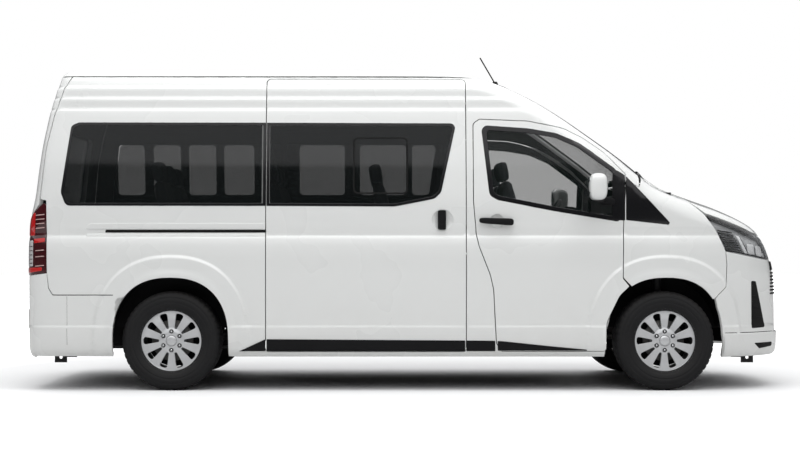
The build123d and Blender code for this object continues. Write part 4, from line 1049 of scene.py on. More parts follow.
bright_trim = plastic("chrome_trim", (0.62, 0.63, 0.64), 0.12, 300, 0.0, variation=0.1, dust=0.02,
                      metallic=1.0)
for k in range(13):
    z = 512 + 43 * k
    if z > 1050:
        break
    half_bar = 418 + 50 * (z - 480) / 600
    bar = ring_panel(f"grille_bar_{k + 1}", bar_ring(z, half_bar, 15), piano_black, "body", [], 26, depth=5,
                     spacing=(60, 60))
surround = ring_panel("grille_surround", end_place(outline([(-426, 468, 60), (426, 468, 60), (482, 1080, 30),
                                                            (-482, 1080, 30)], 26)),
                      bright_trim, "body",
                      [end_place(outline([(-412, 482, 50), (412, 482, 50), (466, 1064, 22),
                                          (-466, 1064, 22)], 26))],
                      22, depth=-2, spacing=(60, 60))

# Headlamps: clear polycarbonate lenses over a silver bowl, black louvres, a bright divider and reflector
# facets. Each lamp is one sealed unit that is bolted in behind the bumper's edge.
lens_clear = make_glass("clear_lamp_lens", (0.30, 0.31, 0.32), 0.02)
LAMP = [(2143, 1263, 8), (2226, 1143, 300), (2292, 1003, 0), (2575, 951, 0), (2900, 923, 0), (2900, 1074, 0),
        (2640, 1092, 60), (2519, 1128, 60)]
lamp_end = float(end_place([(-490, 1000)])[0, 0])


def lamp_ring(rows, grow=0.0):
    ring = wall_place(outline(rows, 24.0), lamp_end + grow)
    keep = [ring[0]]
    for p in ring[1:]:
        if np.linalg.norm(p - keep[-1]) > 2.0:
            keep.append(p)
    return np.array(keep)


def lamp_piece(name, rows, material, depth, thickness, side, cutters=()):
    piece = ring_panel(name, lamp_ring(rows), material, "body", [lamp_ring(c) for c in cutters], thickness,
                       depth=depth, left=side == "left", spacing=(26, 18))
    return piece


bowl_silver = plastic("lamp_bowl_silver", (0.56, 0.57, 0.58), 0.30, 400, 0.1, variation=0.5, dust=0.0)
facet = plastic("lamp_reflector", (0.84, 0.85, 0.86), 0.14, 400, 0.0, variation=0.3, dust=0.0, coat=0.5)
for side in ("right", "left"):
    back = lamp_piece(f"headlamp_bowl_{side}", LAMP, bowl_silver, 34, 4, side)
    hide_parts("headlamps")
    lamp_piece(f"headlamp_lens_{side}", LAMP, lens_clear, 0.5, 4, side)
    lamp_piece(f"headlamp_brow_{side}",
               [(2143, 1263, 8), (2152, 1246, 0), (2505, 1117, 60), (2640, 1081, 60), (2900, 1063, 0),
                (2900, 1074, 0),
                (2640, 1092, 60), (2519, 1128, 60)], piano_black, 3, 30, side)
    lamp_piece(f"headlamp_sill_{side}", [(2286, 1016, 0), (2292, 1003, 0), (2575, 951, 0), (2900, 923, 0),
                                         (2900, 931, 0), (2575, 961, 0)], piano_black, 3, 26, side)
    for k in range(8):
        z = 1020 + 18.5 * k
        near = np.interp(z, [1003, 1143, 1263], [2300, 2234, 2151])
        far = np.interp(z, [976, 1120, 1180], [2440, 2366, 2330])
        lamp_piece(f"headlamp_louvre_{side}_{k + 1}",
                   [(near, z + 6, 0), (near, z - 3, 0), (far - 6, z - 17, 0), (far - 6, z - 8, 0)],
                   piano_black, 10, 16, side)
    lamp_piece(f"headlamp_divider_{side}", [(2440, 976, 0), (2466, 973, 0), (2396, 1112, 0), (2366, 1120, 0)],
               facet, 6, 26, side)
    lamp_piece(f"headlamp_divider_edge_{side}", [(2466, 973, 0), (2473, 972, 0), (2403, 1110, 0),
                                                 (2396, 1112, 0)],
               piano_black, 6, 26, side)
    lamp_piece(f"headlamp_inner_edge_{side}", [(2648, 944, 0), (2662, 942, 0), (2606, 1088, 0),
                                               (2594, 1090, 0)],
               piano_black, 8, 24, side)
    for k, (x, z, w) in enumerate(((2505, 1018, 62), (2586, 1006, 62), (2655, 996, 48))):
        lamp_piece(f"headlamp_reflector_{side}_{k + 1}",
                   [(x - w / 2, z - 38, 14), (x + w / 2, z - 42, 14), (x + w / 2 - 6, z + 40, 14),
                    (x - w / 2 - 4, z + 46, 14)],
                   facet, 20, 8, side)
    lamp_piece(f"headlamp_light_bar_{side}", [(2320, 984, 4), (2640, 938, 20), (2900, 930, 0), (2900, 942, 0),
                                              (2640, 952, 20), (2330, 998, 4)], bright_trim, 16, 8, side)

# Tailgate: one lid of pressed steel across the tail, with a bonded rear pane. It hangs on hinges in the
# roof's rear edge.
tail_mid = tail_limit(0)
lamp_in = float(end_place([(-742, 1000)], True)[0, 0])
gate_edge = [(-2450, 2268), (-2501, 2184), (-2567, 1981), (-2622, 1742), (-2659, 1384), (-2662, 1340)]
gate_side = wall_place(np.array(gate_edge, dtype=float))
dense_side = []
for a, b in zip(gate_side[:-1], gate_side[1:]):
    count = max(1, int(np.linalg.norm(b - a) / 30))
    dense_side += [a + (b - a) * k / count for k in range(count)]
top_row = [(s, 2268.0) for s in np.arange(tail_mid, gate_side[0, 0] - 20, 45)]
step_row = wall_place(np.array([(-2662, 1340), (-2700, 1290), (-2737, 1262)], dtype=float)).tolist()
gate_half = np.array(top_row + [tuple(p) for p in dense_side] + step_row + [(lamp_in - 6, 1230.0)]
                     + [(lamp_in - 6, z) for z in np.arange(1190, 700, -40)]
                     + [(s, 692.0) for s in np.arange(lamp_in - 6, tail_mid + 20, -45)] + [(tail_mid, 692.0)])
REAR_PANE = [(-725, 1378, 70), (725, 1378, 70), (668, 1948, 70), (-668, 1948, 70)]
rear_hole = end_place(outline(offset_rows(REAR_PANE, 14), 30), True)
gate = ring_panel("tailgate_sheet", across(gate_half, tail_mid), paint, "tailgate", [rear_hole], 40,
                  spacing=(40, 26), inner_material=door_trim)
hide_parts("tailgate_panel")
rear_border = ring_panel("rear_pane_border", end_place(outline(REAR_PANE, 30), True), piano_black, "tailgate",
                         [end_place(outline(offset_rows(REAR_PANE, 36), 30), True)], 6, depth=-2,
                         spacing=(80, 60))
rear_pane = ring_panel("rear_pane", end_place(outline(offset_rows(REAR_PANE, 32), 30), True), privacy_glass,
                       "tailgate", [], 5, depth=0, spacing=(80, 60))
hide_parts("tailgate_window")
plate_holder = ring_panel("tailgate_plate_recess", end_place(outline([(-280, 900, 20), (280, 900, 20),
                                                                      (280, 1060, 20),
                                                                      (-280, 1060, 20)], 30), True),
                          black_trim, "tailgate", [], 8, depth=-3, spacing=(60, 50))
plate_white = plastic("blank_plate_white", (0.62, 0.62, 0.60), 0.35, 500, 0.05)
rear_plate = ring_panel("rear_blank_plate", end_place(outline([(-260, 925, 8), (260, 925, 8), (260, 1035, 8),
                                                               (-260, 1035, 8)], 30), True),
                        plate_white, "tailgate", [], 3, depth=-8, spacing=(60, 50))
gate_pull = ring_panel("tailgate_pull", end_place(outline([(-300, 1085, 12), (300, 1085, 12), (290, 1140, 12),
                                                           (-290, 1140, 12)], 30), True),
                       piano_black, "tailgate", [], 20, depth=-14, spacing=(60, 50))

# Tail lamps: tall lenses of red plastic round the rear corners, with pale bars and a clear column for
# reversing. Each is bolted to the body's corner.
def lamp_plastic(name, color, roughness=0.06):
    material = plastic(name, color, roughness, 300, 0.0, variation=0.35, dust=0.04, coat=0.8)
    return material


lamp_red = lamp_plastic("red_lamp_lens", (0.62, 0.008, 0.008))
lamp_dark = lamp_plastic("dark_red_lamp_lens", (0.055, 0.003, 0.006))
lamp_pale = lamp_plastic("pale_lamp_bar", (0.62, 0.42, 0.40))
lamp_white = lamp_plastic("clear_lamp_bar", (0.70, 0.70, 0.71))
TAIL_LAMP = [(-2606, 1362, 16), (-2600, 850, 6), (-2745, 826, 10), (-2900, 806, 0), (-2900, 1196, 0),
             (-2745, 1238, 20), (-2728, 1262, 24)]


def tail_ring(rows):
    ring = wall_place(outline(rows, 20.0), lamp_in)
    keep = [ring[0]]
    for p in ring[1:]:
        if np.linalg.norm(p - keep[-1]) > 1.5:
            keep.append(p)
    return np.array(keep)


def tail_piece(side, name, rows, material, depth, thickness=12):
    piece = ring_panel(f"{name}_{side}", tail_ring(rows), material, "body", [], thickness, depth=depth,
                       left=side == "left", spacing=(22, 18))
    return piece


for side in ("right", "left"):
    body_lens = tail_piece(side, "tail_lamp_body", TAIL_LAMP, lamp_dark, 0, 36)
    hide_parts("tail_lamps")
    tail_piece(side, "tail_lamp_upper_red", [(-2686, 1296, 10), (-2692, 1114, 6), (-2900, 1098, 0),
                                             (-2900, 1188, 0),
                                       (-2722, 1256, 20)], lamp_red, -3)
    tail_piece(side, "tail_lamp_middle_red", [(-2612, 1098, 4), (-2612, 1068, 4), (-2696, 1058, 4),
                                              (-2696, 1090, 4)],
               lamp_red, -3)
    tail_piece(side, "tail_lamp_lower_red", [(-2628, 886, 8), (-2634, 862, 6), (-2900, 816, 0),
                                             (-2900, 876, 0)], lamp_red, -3)
    for k, z in enumerate((1168, 1199, 1230, 1261, 896, 962, 1006)):
        tail_piece(side, f"tail_lamp_bar_{k + 1}", [(-2616, z, 2), (-2682, z - 5, 2), (-2682, z + 2, 2),
                                                    (-2616, z + 7, 2)],
                   lamp_pale, -5, 6)
    tail_piece(side, "tail_lamp_clear", [(-2704, 1080, 6), (-2704, 894, 6), (-2900, 880, 0),
                                         (-2900, 1064, 0)], lamp_white, -2)
    for k in range(5):
        z = 912 + 30 * k
        tail_piece(side, f"tail_lamp_fin_{k + 1}", [(-2706, z, 0), (-2900, z - 12, 0), (-2900, z - 5, 0),
                                                    (-2706, z + 7, 0)],
                   lamp_dark, -4, 6)

# Rear bumper: a moulded plastic cover in body colour from arch to arch, clipped to the body, with a black
# step pad on top and a dark reflector at each corner.
rear_arch = side_outline(arch(REAR_AXLE_X))
rear_half = wall_place(outline([(-2100, 246, 0), (-1990, 684, 0), (-2555, 684, 12), (-2586, 734, 10),
                                (-2597, 843, 0),
                                (-2760, 822, 0), (-2900, 802, 0), (-2900, 246, 0)], 26.0), lamp_in)
rear_half = np.array([p for p in rear_half if p[0] > lamp_in + 8])
high = np.array([p for p in rear_half if p[1] > 247])
base = np.array(sorted([tuple(p) for p in rear_half if p[1] <= 247]))
rear_cover_half = np.vstack([[(tail_mid, 684.0)], [(s, 684.0) for s in np.arange(tail_mid + 40, lamp_in - 4,
                                                                                 45)],
                             [(lamp_in, 690.0), (lamp_in, 806.0)],
                             [tuple(p) for p in high[np.argsort(np.where(high[:, 1] > 690, 0,
                                                                         1) * 1e4 + high[:, 0])]
                              if p[1] > 690 and p[0] > lamp_in + 10],
                             [(-2555.0, 684.0)], [(s, 684.0) for s in np.arange(-2520, -2000, 40)],
                             [(-1990.0, 684.0), (-2100.0, 246.0)],
                             [(s, 246.0) for s in np.arange(-2150, tail_mid, -45)], [(tail_mid, 246.0)]])
rear_cover = ring_panel("rear_bumper_cover", across(rear_cover_half, tail_mid), paint, "body",
                        [rear_arch, other_half(rear_arch, tail_mid)], 30, spacing=(36, 26),
                        inner_material=black_trim)
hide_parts("rear_bumper")
step_pad = ring_panel("rear_step_pad", end_place(outline([(-560, 640, 8), (560, 640, 8), (560, 676, 8),
                                                          (-560, 676, 8)],
                                                         30), True), black_trim, "body", [], 8, depth=-4,
                      spacing=(60, 60))
for side in ("right", "left"):
    s0 = float(end_place([(-800, 500)], True)[0, 0])
    reflector = ring_panel(f"rear_reflector_{side}",
                           outline([(s0 - 30, 445, 8), (s0 + 12, 445, 8), (s0 + 12, 580, 8),
                                    (s0 - 30, 580, 8)], 20.0),
                           lamp_dark, "body", [], 8, depth=-3, left=side == "left", spacing=(30, 30))

# Sill trim, door rail cover and lower mouldings: black and body-coloured plastic strips that are clipped
# along the body. Thin dark strips stand for the seams of the bumpers.
def strip(name, rows, material, body, depth, thickness, side, cutters=(),
          spacing=(60, 30)):
    piece = ring_panel(f"{name}_{side}", side_outline(rows), material, body,
                       [side_outline(c) for c in cutters],
                       thickness, depth=depth, left=side == "left", spacing=spacing)
    return piece


for side in ("right", "left"):
    strip("sill_trim_rear", [(-1214, 286, 0), (-1031, 286, 0), (-1031, 371, 4)], black_trim, "body", -6, 9,
          side)
    strip("sill_trim_middle", [(-1021, 286, 3), (401, 286, 3), (401, 362, 3), (-1021, 371, 3)], black_trim,
          "body", -6,
          9, side)
    strip("sill_trim_pillar", [(412, 286, 3), (618, 286, 3), (616, 360, 3), (412, 362, 3)], black_trim,
          "body", -6, 9,
          side)
    strip("sill_trim_door", [(636, 290, 3), (1335, 290, 3), (1000, 322, 200), (660, 358, 12), (634, 358, 3)],
          black_trim,
          f"front_door_{side}", -6, 9, side)
    strip("bumper_vent", [(2484, 788, 12), (2526, 784, 10), (2614, 446, 14), (2490, 442, 10)], rubber_seal,
          "body",
          -1.5, 8, side)
    for k in range(3):
        z = 520 + 75 * k
        strip(f"bumper_vent_fin_{k + 1}", [(2497, z, 2), (2584 - 18 * k, z - 8, 2), (2580 - 18 * k, z + 6, 2),
                                          (2497, z + 12, 2)], black_trim, "body", -6, 7, side)
    strip("bumper_lip_slot", [(2499, 338, 4), (2668, 338, 10), (2664, 308, 10), (2545, 297, 12)],
          rubber_seal, "body",
          -17.5, 5, side)
lip_low, lip_high = 250.0, 410.0
lip_start, lip_end = 2268.0, nose_limit(0)
lip_base = np.array([(s, lip_low) for s in np.arange(lip_start, lip_end, 40)] + [(lip_end, lip_low)])
lip_top = np.array([(lip_end, lip_high)] + [(s, lip_high) for s in np.arange(lip_end - 40, lip_start, -40)]
                   + [(lip_start, lip_high)])
lip_whole = np.concatenate([lip_base, other_half(lip_base, lip_end)[1:], other_half(lip_top, lip_end),
                            lip_top[1:]])
lip = ring_panel("front_lip_spoiler", lip_whole, paint, "body", [], 20, depth=-15, spacing=(40, 30), roll=4.5)
for side in ("right", "left"):
    strip("front_lip_seam", [(2272, 411, 0), (2690, 411, 0), (2690, 417, 0), (2272, 417, 0)], rubber_seal,
          "body", -0.8,
          3, side)
    strip("rear_bumper_seam", [(-2453, 330, 0), (-2449, 330, 0), (-2449, 680, 0), (-2453, 680, 0)],
          rubber_seal, "body",
          -0.6, 3, side)
for side in ("right", "left"):
    for k in range(8):
        z, high = (686 + 25 * k, 12) if k < 7 else (864, 62)
        tip = ring_panel(f"grille_tooth_{side}_{k + 1}",
                         outline([(nose_limit(-648), z, 3), (nose_limit(-452), z, 3),
                                  (nose_limit(-452), z + high, 3),
                                  (nose_limit(-648), z + high, 3)], 20), rubber_seal, "body", [], 12,
                                  depth=-8,
                         left=side == "left", spacing=(30, 30))
strip("rail_cover", [(-2318, 1110, 6), (-1031, 1110, 3), (-1031, 1130, 3), (-2312, 1130, 6)], paint, "body",
      -5, 8,
      "right")
rail = strip("rail_slot", [(-2180, 1135, 4), (-1031, 1135, 2), (-1031, 1156, 2), (-2176, 1156, 10)],
             rubber_seal, "body",
             -2.5, 5, "right")
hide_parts("slide_rail")
strip("rail_cover_top", [(-2318, 1160, 6), (-1031, 1160, 3), (-1031, 1202, 3), (-2290, 1202, 30)], paint,
      "body", -4, 8,
      "right")


# Door handles: black plastic pull bars, each screwed on from inside over a dished steel cup in the door's
# outer skin.
def cup(name, x, z, rx, rz, depth, material, body, left=False):
    """A round-edged dish that stands just proud of the panel at its rim and dips behind the bar."""
    points, rings = [], 14
    for k in range(rings + 1):
        f = k / rings
        for j in range(40):
            a = 2 * math.pi * j / 40
            points.append((x + rx * f * math.cos(a), z + rz * f * math.sin(a), f))
    points = np.array(points)
    base = wall_points(points[:, 0], points[:, 1])
    normal = surface_normal(base)
    f = points[:, 2]
    drop = depth * np.clip(1 - f ** 2.4, 0, 1) - 1.2 * ramp(f, 0.80, 0.93) * (1 - ramp(f, 0.93, 1.0)) - 0.6
    out = base - normal * drop[:, None]
    faces = []
    for k in range(rings):
        for j in range(40):
            a, b = k * 40 + j, k * 40 + (j + 1) % 40
            faces.append((a, b, b + 40, a + 40))
    if left:
        out = out * np.array([1, -1, 1])
        faces = [f[::-1] for f in faces]
    thing = new_object(name, out, faces, material, body)
    return thing


# Wheels: rims of cast alloy with ten flat machined spokes and a plain cap, inside broad rubber tyres. Six
# nuts hold each one to its hub, with a brake disc and a dust shield behind.
def lathe(name, rows, material, body, centre, outward, segments=128, wave=None):
    """A ring turned about the wheel's axle. Rows are (radius, distance outwards) in millimetres."""
    count = len(rows)
    points = []
    for j in range(segments):
        a = 2 * math.pi * j / segments
        for i, (r, w) in enumerate(rows):
            r = r + (wave(i, j) if wave else 0)
            points.append((centre[0] + r * math.sin(a), centre[1] + outward * w, centre[2] + r * math.cos(a)))
    faces = []
    for j in range(segments):
        for i in range(count - 1):
            a, b = j * count + i, ((j + 1) % segments) * count + i
            quad = (a, a + 1, b + 1, b)
            faces.append(quad if outward > 0 else quad[::-1])
    return new_object(name, points, faces, material, body)


tyre_rubber = plastic("tyre_rubber", (0.008, 0.008, 0.009), 0.62, 420, 0.5, variation=0.4, dust=0.08,
                      specular=0.3)
brushed = plastic("machined_alloy", (0.66, 0.67, 0.68), 0.30, 1600, 0.25, variation=0.12, dust=0.04,
                  metallic=0.62)
dark_alloy = plastic("rim_inner_alloy", (0.085, 0.087, 0.09), 0.5, 500, 0.3, metallic=0.8, dust=0.2)
brake_iron = plastic("brake_iron", (0.10, 0.098, 0.095), 0.45, 700, 0.5, metallic=0.7, dust=0.2)

tyre_rows = [
    (216, 96), (222, 102), (229, 105), (236, 105.5), (240, 109), (252, 112), (262, 115), (270, 116.8),
    (273, 115.6), (276, 115.6), (279, 117.2), (292, 117.5), (304, 116.5), (308, 114.6), (312, 114.6),
    (315, 115.5),
    (326, 111.5), (335, 107), (343, 101), (349.5, 93), (353.5, 84), (355, 76), (355.6, 68),
    (349, 65), (349, 58), (356, 55), (356.6, 38), (356.8, 26), (349.5, 23), (349.5, 15), (357, 12), (357, 0),
]
tyre_rows = tyre_rows + [(r, -w) for r, w in tyre_rows[::-1][1:]]
TREAD_COUNT = 240


def tread_wave(i, j):
    w = tyre_rows[i][1]
    r = tyre_rows[i][0]
    if r < 333:
        return 0
    shoulder = abs(w) > 64
    cut = (j % 5 == 0) if shoulder else ((j + int(w / 14)) % 5 == 2 and r > 354)
    return (-5.5 if shoulder else -3.5) if cut and r > 341 else (-2.0 if cut else 0)


def pocket_rows(angle, r0=90.0, r1=204.0, half0=8.0, half1=29.0):
    rows = []
    for u, v, rad in ((r0, -half0, 7), (r1 - 8, -half1, 15), (r1, 0, 60), (r1 - 8, half1, 15),
                      (r0, half0, 7)):
        c, s = math.cos(angle), math.sin(angle)
        rows.append((u * s + v * c, u * c - v * s, rad))
    return rows


def spoke_face(r):
    """How far out the spoke's face stands at a radius from the axle."""
    return 92 - 10 * ramp(r, 60, 100) + 6 * ramp(r, 150, 205)


def rim_face(name, body, centre, outward):
    ring = np.array([(216 * math.cos(t), 216 * math.sin(t)) for t in np.linspace(0, 2 * math.pi, 97)[:-1]])
    holes = [outline(pocket_rows(math.radians(36 * (k + 0.5))), 14) for k in range(10)]
    for k in range(6):
        a = math.radians(60 * k)
        holes.append(np.array([(67 * math.sin(a) + 15 * math.cos(t), 67 * math.cos(a) + 15 * math.sin(t))
                               for t in np.linspace(0, 2 * math.pi, 21)[:-1]]))
    plane, faces = fill(ring, holes, (15, 15))
    r = np.hypot(plane[:, 0], plane[:, 1])
    angle = np.arctan2(plane[:, 0], plane[:, 1])
    rib = np.cos(angle * 10)
    lift = spoke_face(r) + 2.5 * np.clip(rib, 0, 1) * ramp(r, 85, 120) * (1 - ramp(r, 185, 205))
    points = np.column_stack([centre[0] + plane[:, 0], centre[1] + outward * lift, centre[2] + plane[:, 1]])
    tilt = (spoke_face(r + 2) - spoke_face(r - 2)) / 4
    normals = np.column_stack([-tilt * plane[:, 0] / np.maximum(r, 1), np.full(len(r), float(outward)),
                               -tilt * plane[:, 1] / np.maximum(r, 1)])
    normals /= np.linalg.norm(normals, axis=1)[:, None]
    if outward > 0:
        faces = faces[:, ::-1]
    return shell(plane, faces, points, normals, 20, name, brushed, body, dark_alloy, roll=2.5)


for end, axle in (("front", FRONT_AXLE_X), ("rear", REAR_AXLE_X)):
    for side, outward in (("right", -1), ("left", 1)):
        label = f"{end}_{side}"
        body = f"wheel_{label}"
        centre = (axle, outward * 817.5, AXLE_Z)
        rubber = lathe(f"road_tyre_{label}", tyre_rows, tyre_rubber, body, centre, outward, TREAD_COUNT,
                       tread_wave)
        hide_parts(f"tyre_{label}")
        flange = lathe(f"rim_flange_{label}", [
            (231, 96), (231, 101), (229, 103.5), (225.5, 103.5), (223.5, 101), (221, 97), (217, 93),
            (214, 86)],
            brushed, body, centre, outward, 120)
        barrel = lathe(f"rim_barrel_{label}", [
            (214, 86), (212, 66), (200, 48), (196, 20), (198, -60), (212, -84), (226, -98), (231, -98),
            (231, -92), (216, -80),
            (204, -58), (202, 18), (208, 46), (218, 80), (222, 94), (231, 96)], dark_alloy, body, centre,
            outward, 120)
        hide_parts(f"rim_{label}")
        face = rim_face(f"rim_spokes_{label}", body, centre, outward)
        cap = lathe(f"rim_cap_{label}", [(0.3, 101), (14, 100.6), (26, 99), (33, 96.5), (36, 93.5),
                                         (36.5, 88)],
                    brushed, body, centre, outward, 48)
        ring = lathe(f"rim_cap_groove_{label}", [(36.8, 91.9), (39.4, 92.2)], black_trim, body, centre,
                     outward, 48)
        hub = lathe(f"rim_hub_{label}", [(60, 74), (100, 72), (112, 60), (112, -10), (40, -14)], dark_alloy,
                    body, centre,
                    outward, 64)
        disc = lathe(f"brake_disc_{label}", [(40, 40), (148, 40), (149, 38), (149, 18), (148, 16), (40, 16)],
                     brake_iron,
                     body, centre, outward, 72)
        shield = lathe(f"brake_shield_{label}", [(30, -16), (188, -16), (190, -18), (190, -22), (188, -24),
                                                 (30, -24)],
                       black_trim, "body" if end == "rear" else f"steer_{side}", centre, outward, 72)
        for k in range(6):
            a = math.radians(60 * k)
            spot = (centre[0] + 67 * math.sin(a), centre[1], centre[2] + 67 * math.cos(a))
            well = lathe(f"nut_well_{label}_{k + 1}", [(15.2, 91), (14.4, 88), (13.8, 76), (8, 75.5)],
                         dark_alloy, body,
                         spot, outward, 24)
            nut = lathe(f"wheel_nut_{label}_{k + 1}", [(0.2, 97), (4.5, 96.2), (7.6, 93.4), (9.4, 89.6),
                                                       (9.8, 76)],
                        bright_trim, body, spot, outward, 18)

# Door mirrors: a cap in body colour over a black plastic housing with a mirror glass. A black foot holds each
# one at the corner of the door glass.
def loft(name, rings, material, body, levels=2):
    """A closed form through rings of points, finished as a subdivision surface."""
    count = len(rings[0])
    points = [p for ring in rings for p in ring]
    faces = []
    for k in range(len(rings) - 1):
        for j in range(count):
            a, b = k * count + j, k * count + (j + 1) % count
            faces.append((a, b, b + count, a + count))
    faces.append(tuple(range(count))[::-1])
    faces.append(tuple(range(len(points) - count, len(points))))
    thing = new_object(name, points, faces, material, body)
    mesh = bmesh.new()
    mesh.from_mesh(thing.data)
    bmesh.ops.recalc_face_normals(mesh, faces=mesh.faces)
    mesh.to_mesh(thing.data)
    mesh.free()
    thing.modifiers.new("rounding", "SUBSURF").levels = levels
    thing.modifiers["rounding"].render_levels = levels
    return thing


def rounded(cx, cz, hx, hz, n=20, power=3.2):
    out = []
    for j in range(n):
        a = 2 * math.pi * j / n
        c, s = math.cos(a), math.sin(a)
        out.append((cx + hx * math.copysign(abs(c) ** (2 / power), c),
                    cz + hz * math.copysign(abs(s) ** (2 / power), s)))
    return out


mirror_glass = plastic("mirror_glass", (0.55, 0.57, 0.58), 0.03, 300, 0.0, variation=0.05, dust=0.0,
                       metallic=1.0)
for side, sign in (("right", -1), ("left", 1)):
    body = f"front_door_{side}"
    # sections run outwards along y; the cap leans back at its top
    rings = []
    for y, cx, cz, hx, hz in ((960, 1350, 1445, 34, 70), (985, 1340, 1450, 55, 88),
                              (1040, 1332, 1455, 64, 96),
                              (1120, 1330, 1457, 66, 98), (1165, 1328, 1455, 62, 92),
                              (1188, 1326, 1452, 46, 74)):
        rings.append([(x, sign * y, z) for x, z in rounded(cx, cz, hx, hz)])
    cap = loft(f"mirror_cap_{side}", rings, paint, body)
    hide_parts(f"door_{side}_mirror")
    glass = loft(f"mirror_glass_{side}", [[(x, sign * y, z) for y, z in rounded(1085, 1456, 78, 78)]
                                          for x in (1272, 1266)], mirror_glass, body, 1)
    foot = loft(f"mirror_foot_{side}", [
        [(1395 + a, sign * 955, b) for a, b in rounded(40, 1352, 66, 30)],
        [(1370 + a, sign * 968, b) for a, b in rounded(30, 1365, 50, 24)],
        [(1350 + a, sign * 1000, b) for a, b in rounded(10, 1374, 40, 22)],
        [(1340 + a, sign * 1040, b) for a, b in rounded(0, 1376, 36, 20)],
        [(1336 + a, sign * 1130, b) for a, b in rounded(0, 1370, 40, 16)]], black_trim, body)
    # the pull bar and its cups
    bar = loft(f"door_pull_{side}", [
        [(x, sign * y, z) for y, z in rounded(975, 1222 - (x - 500) * 0.05, hy, hz)]
        for x, hy, hz in ((500, 5, 10), (512, 12, 20), (560, 13, 22), (640, 13, 23), (715, 14, 26),
                          (738, 12, 24),
                          (748, 6, 14))], black_trim, body)
    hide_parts(f"door_{side}_handle")
    cup(f"door_cup_{side}", 630, 1216, 54, 58, 14, paint, body, sign > 0)
cup("sliding_door_cup", 240, 1226, 84, 80, 22, paint, "body")

# Wipers and cowl: two black rubber blades on spring arms, parked along the foot of the windscreen. Below them
# a black plastic cowl lies between two painted corners.
for k, (blade, arm) in enumerate((
        ([(-705, 1574, 3), (-120, 1604, 3), (-120, 1613, 3), (-705, 1584, 3)],
         [(-214, 1552, 5), (-192, 1552, 5), (-396, 1600, 3), (-410, 1594, 3)]),
        ([(50, 1604, 3), (640, 1574, 3), (640, 1584, 3), (50, 1613, 3)],
         [(128, 1552, 5), (150, 1552, 5), (352, 1592, 3), (340, 1600, 3)]))):
    rubber = front_panel(f"wiper_blade_{k + 1}", blade, black_trim, "body", thickness=8, depth=-7,
                         spacing=(60, 30))
    spring = front_panel(f"wiper_arm_{k + 1}", arm, black_trim, "body", thickness=5, depth=-11,
                         spacing=(60, 30))
    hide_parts("wipers")

span = np.linspace(-735, 0, 24)
foot_x = cast(np.column_stack([np.full(24, 3200.0), span, np.full(24, 1541.0)]),
              np.tile([-1.0, 0.0, 0.0], (24, 1)),
              3600)[:, 0]
foot_x = np.minimum(foot_x + 2, 1856.0)
for label, low, high in (("middle", -590.0, 0.0), ("corner_right", -735.0, -596.0)):
    back = np.column_stack([np.interp(np.linspace(low, high, 12), span, foot_x), np.linspace(low, high, 12)])
    half = np.vstack([[(1867.0, y) for y in np.linspace(high, low, 8)], back])
    if label == "middle":
        piece = top_panel("cowl_cover", whole_ring(half), black_trim, "body", thickness=8, depth=2,
                          spacing=(40, 40))
        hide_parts("cowl_panel")
        continue
    for side, ring in (("right", half), ("left", half[::-1] * np.array([1.0, -1.0]))):
        piece = top_panel(f"cowl_corner_{side}", ring, paint, "body", thickness=8, depth=0.5,
                          spacing=(40, 40))

# Seats: foam pads under dark woven covers, on steel bases. Each pad is a crowned closed form with a seam
# round its edge and two sewn channels.
def make_fabric():
    material = bpy.data.materials.new("woven_seat_cover")
    material.use_nodes = True
    tree = material.node_tree
    shader = tree.nodes["Principled BSDF"]
    place = tree.nodes.new("ShaderNodeTexCoord").outputs["Object"]
    waves = []
    for direction in ("X", "Y", "Z"):
        wave = tree.nodes.new("ShaderNodeTexWave")
        wave.bands_direction = direction
        wave.inputs["Scale"].default_value = 240.0
        wave.inputs["Distortion"].default_value = 0.6
        tree.links.new(place, wave.inputs["Vector"])
        waves.append(wave.outputs["Fac"])
    weave = math_node(tree, "MULTIPLY", math_node(tree, "ADD", waves[0], waves[1]), waves[2])
    cloud = noise_node(tree, 14.0, 3.0, place)
    base = mix_node(tree, cloud, (0.045, 0.047, 0.052, 1), (0.085, 0.088, 0.095, 1))
    base = mix_node(tree, math_node(tree, "MULTIPLY", weave, 0.3, True), base, (0.13, 0.135, 0.145, 1))
    tree.links.new(base, shader.inputs["Base Color"])
    shader.inputs["Roughness"].default_value = 0.9
    shader.inputs["Sheen Weight"].default_value = 0.3
    node = tree.nodes.new("ShaderNodeBump")
    node.inputs["Strength"].default_value = 0.4
    node.inputs["Distance"].default_value = 0.0008
    tree.links.new(weave, node.inputs["Height"])
    tree.links.new(node.outputs["Normal"], shader.inputs["Normal"])
    return material


fabric = make_fabric()
FLOOR_TOP = 560.0


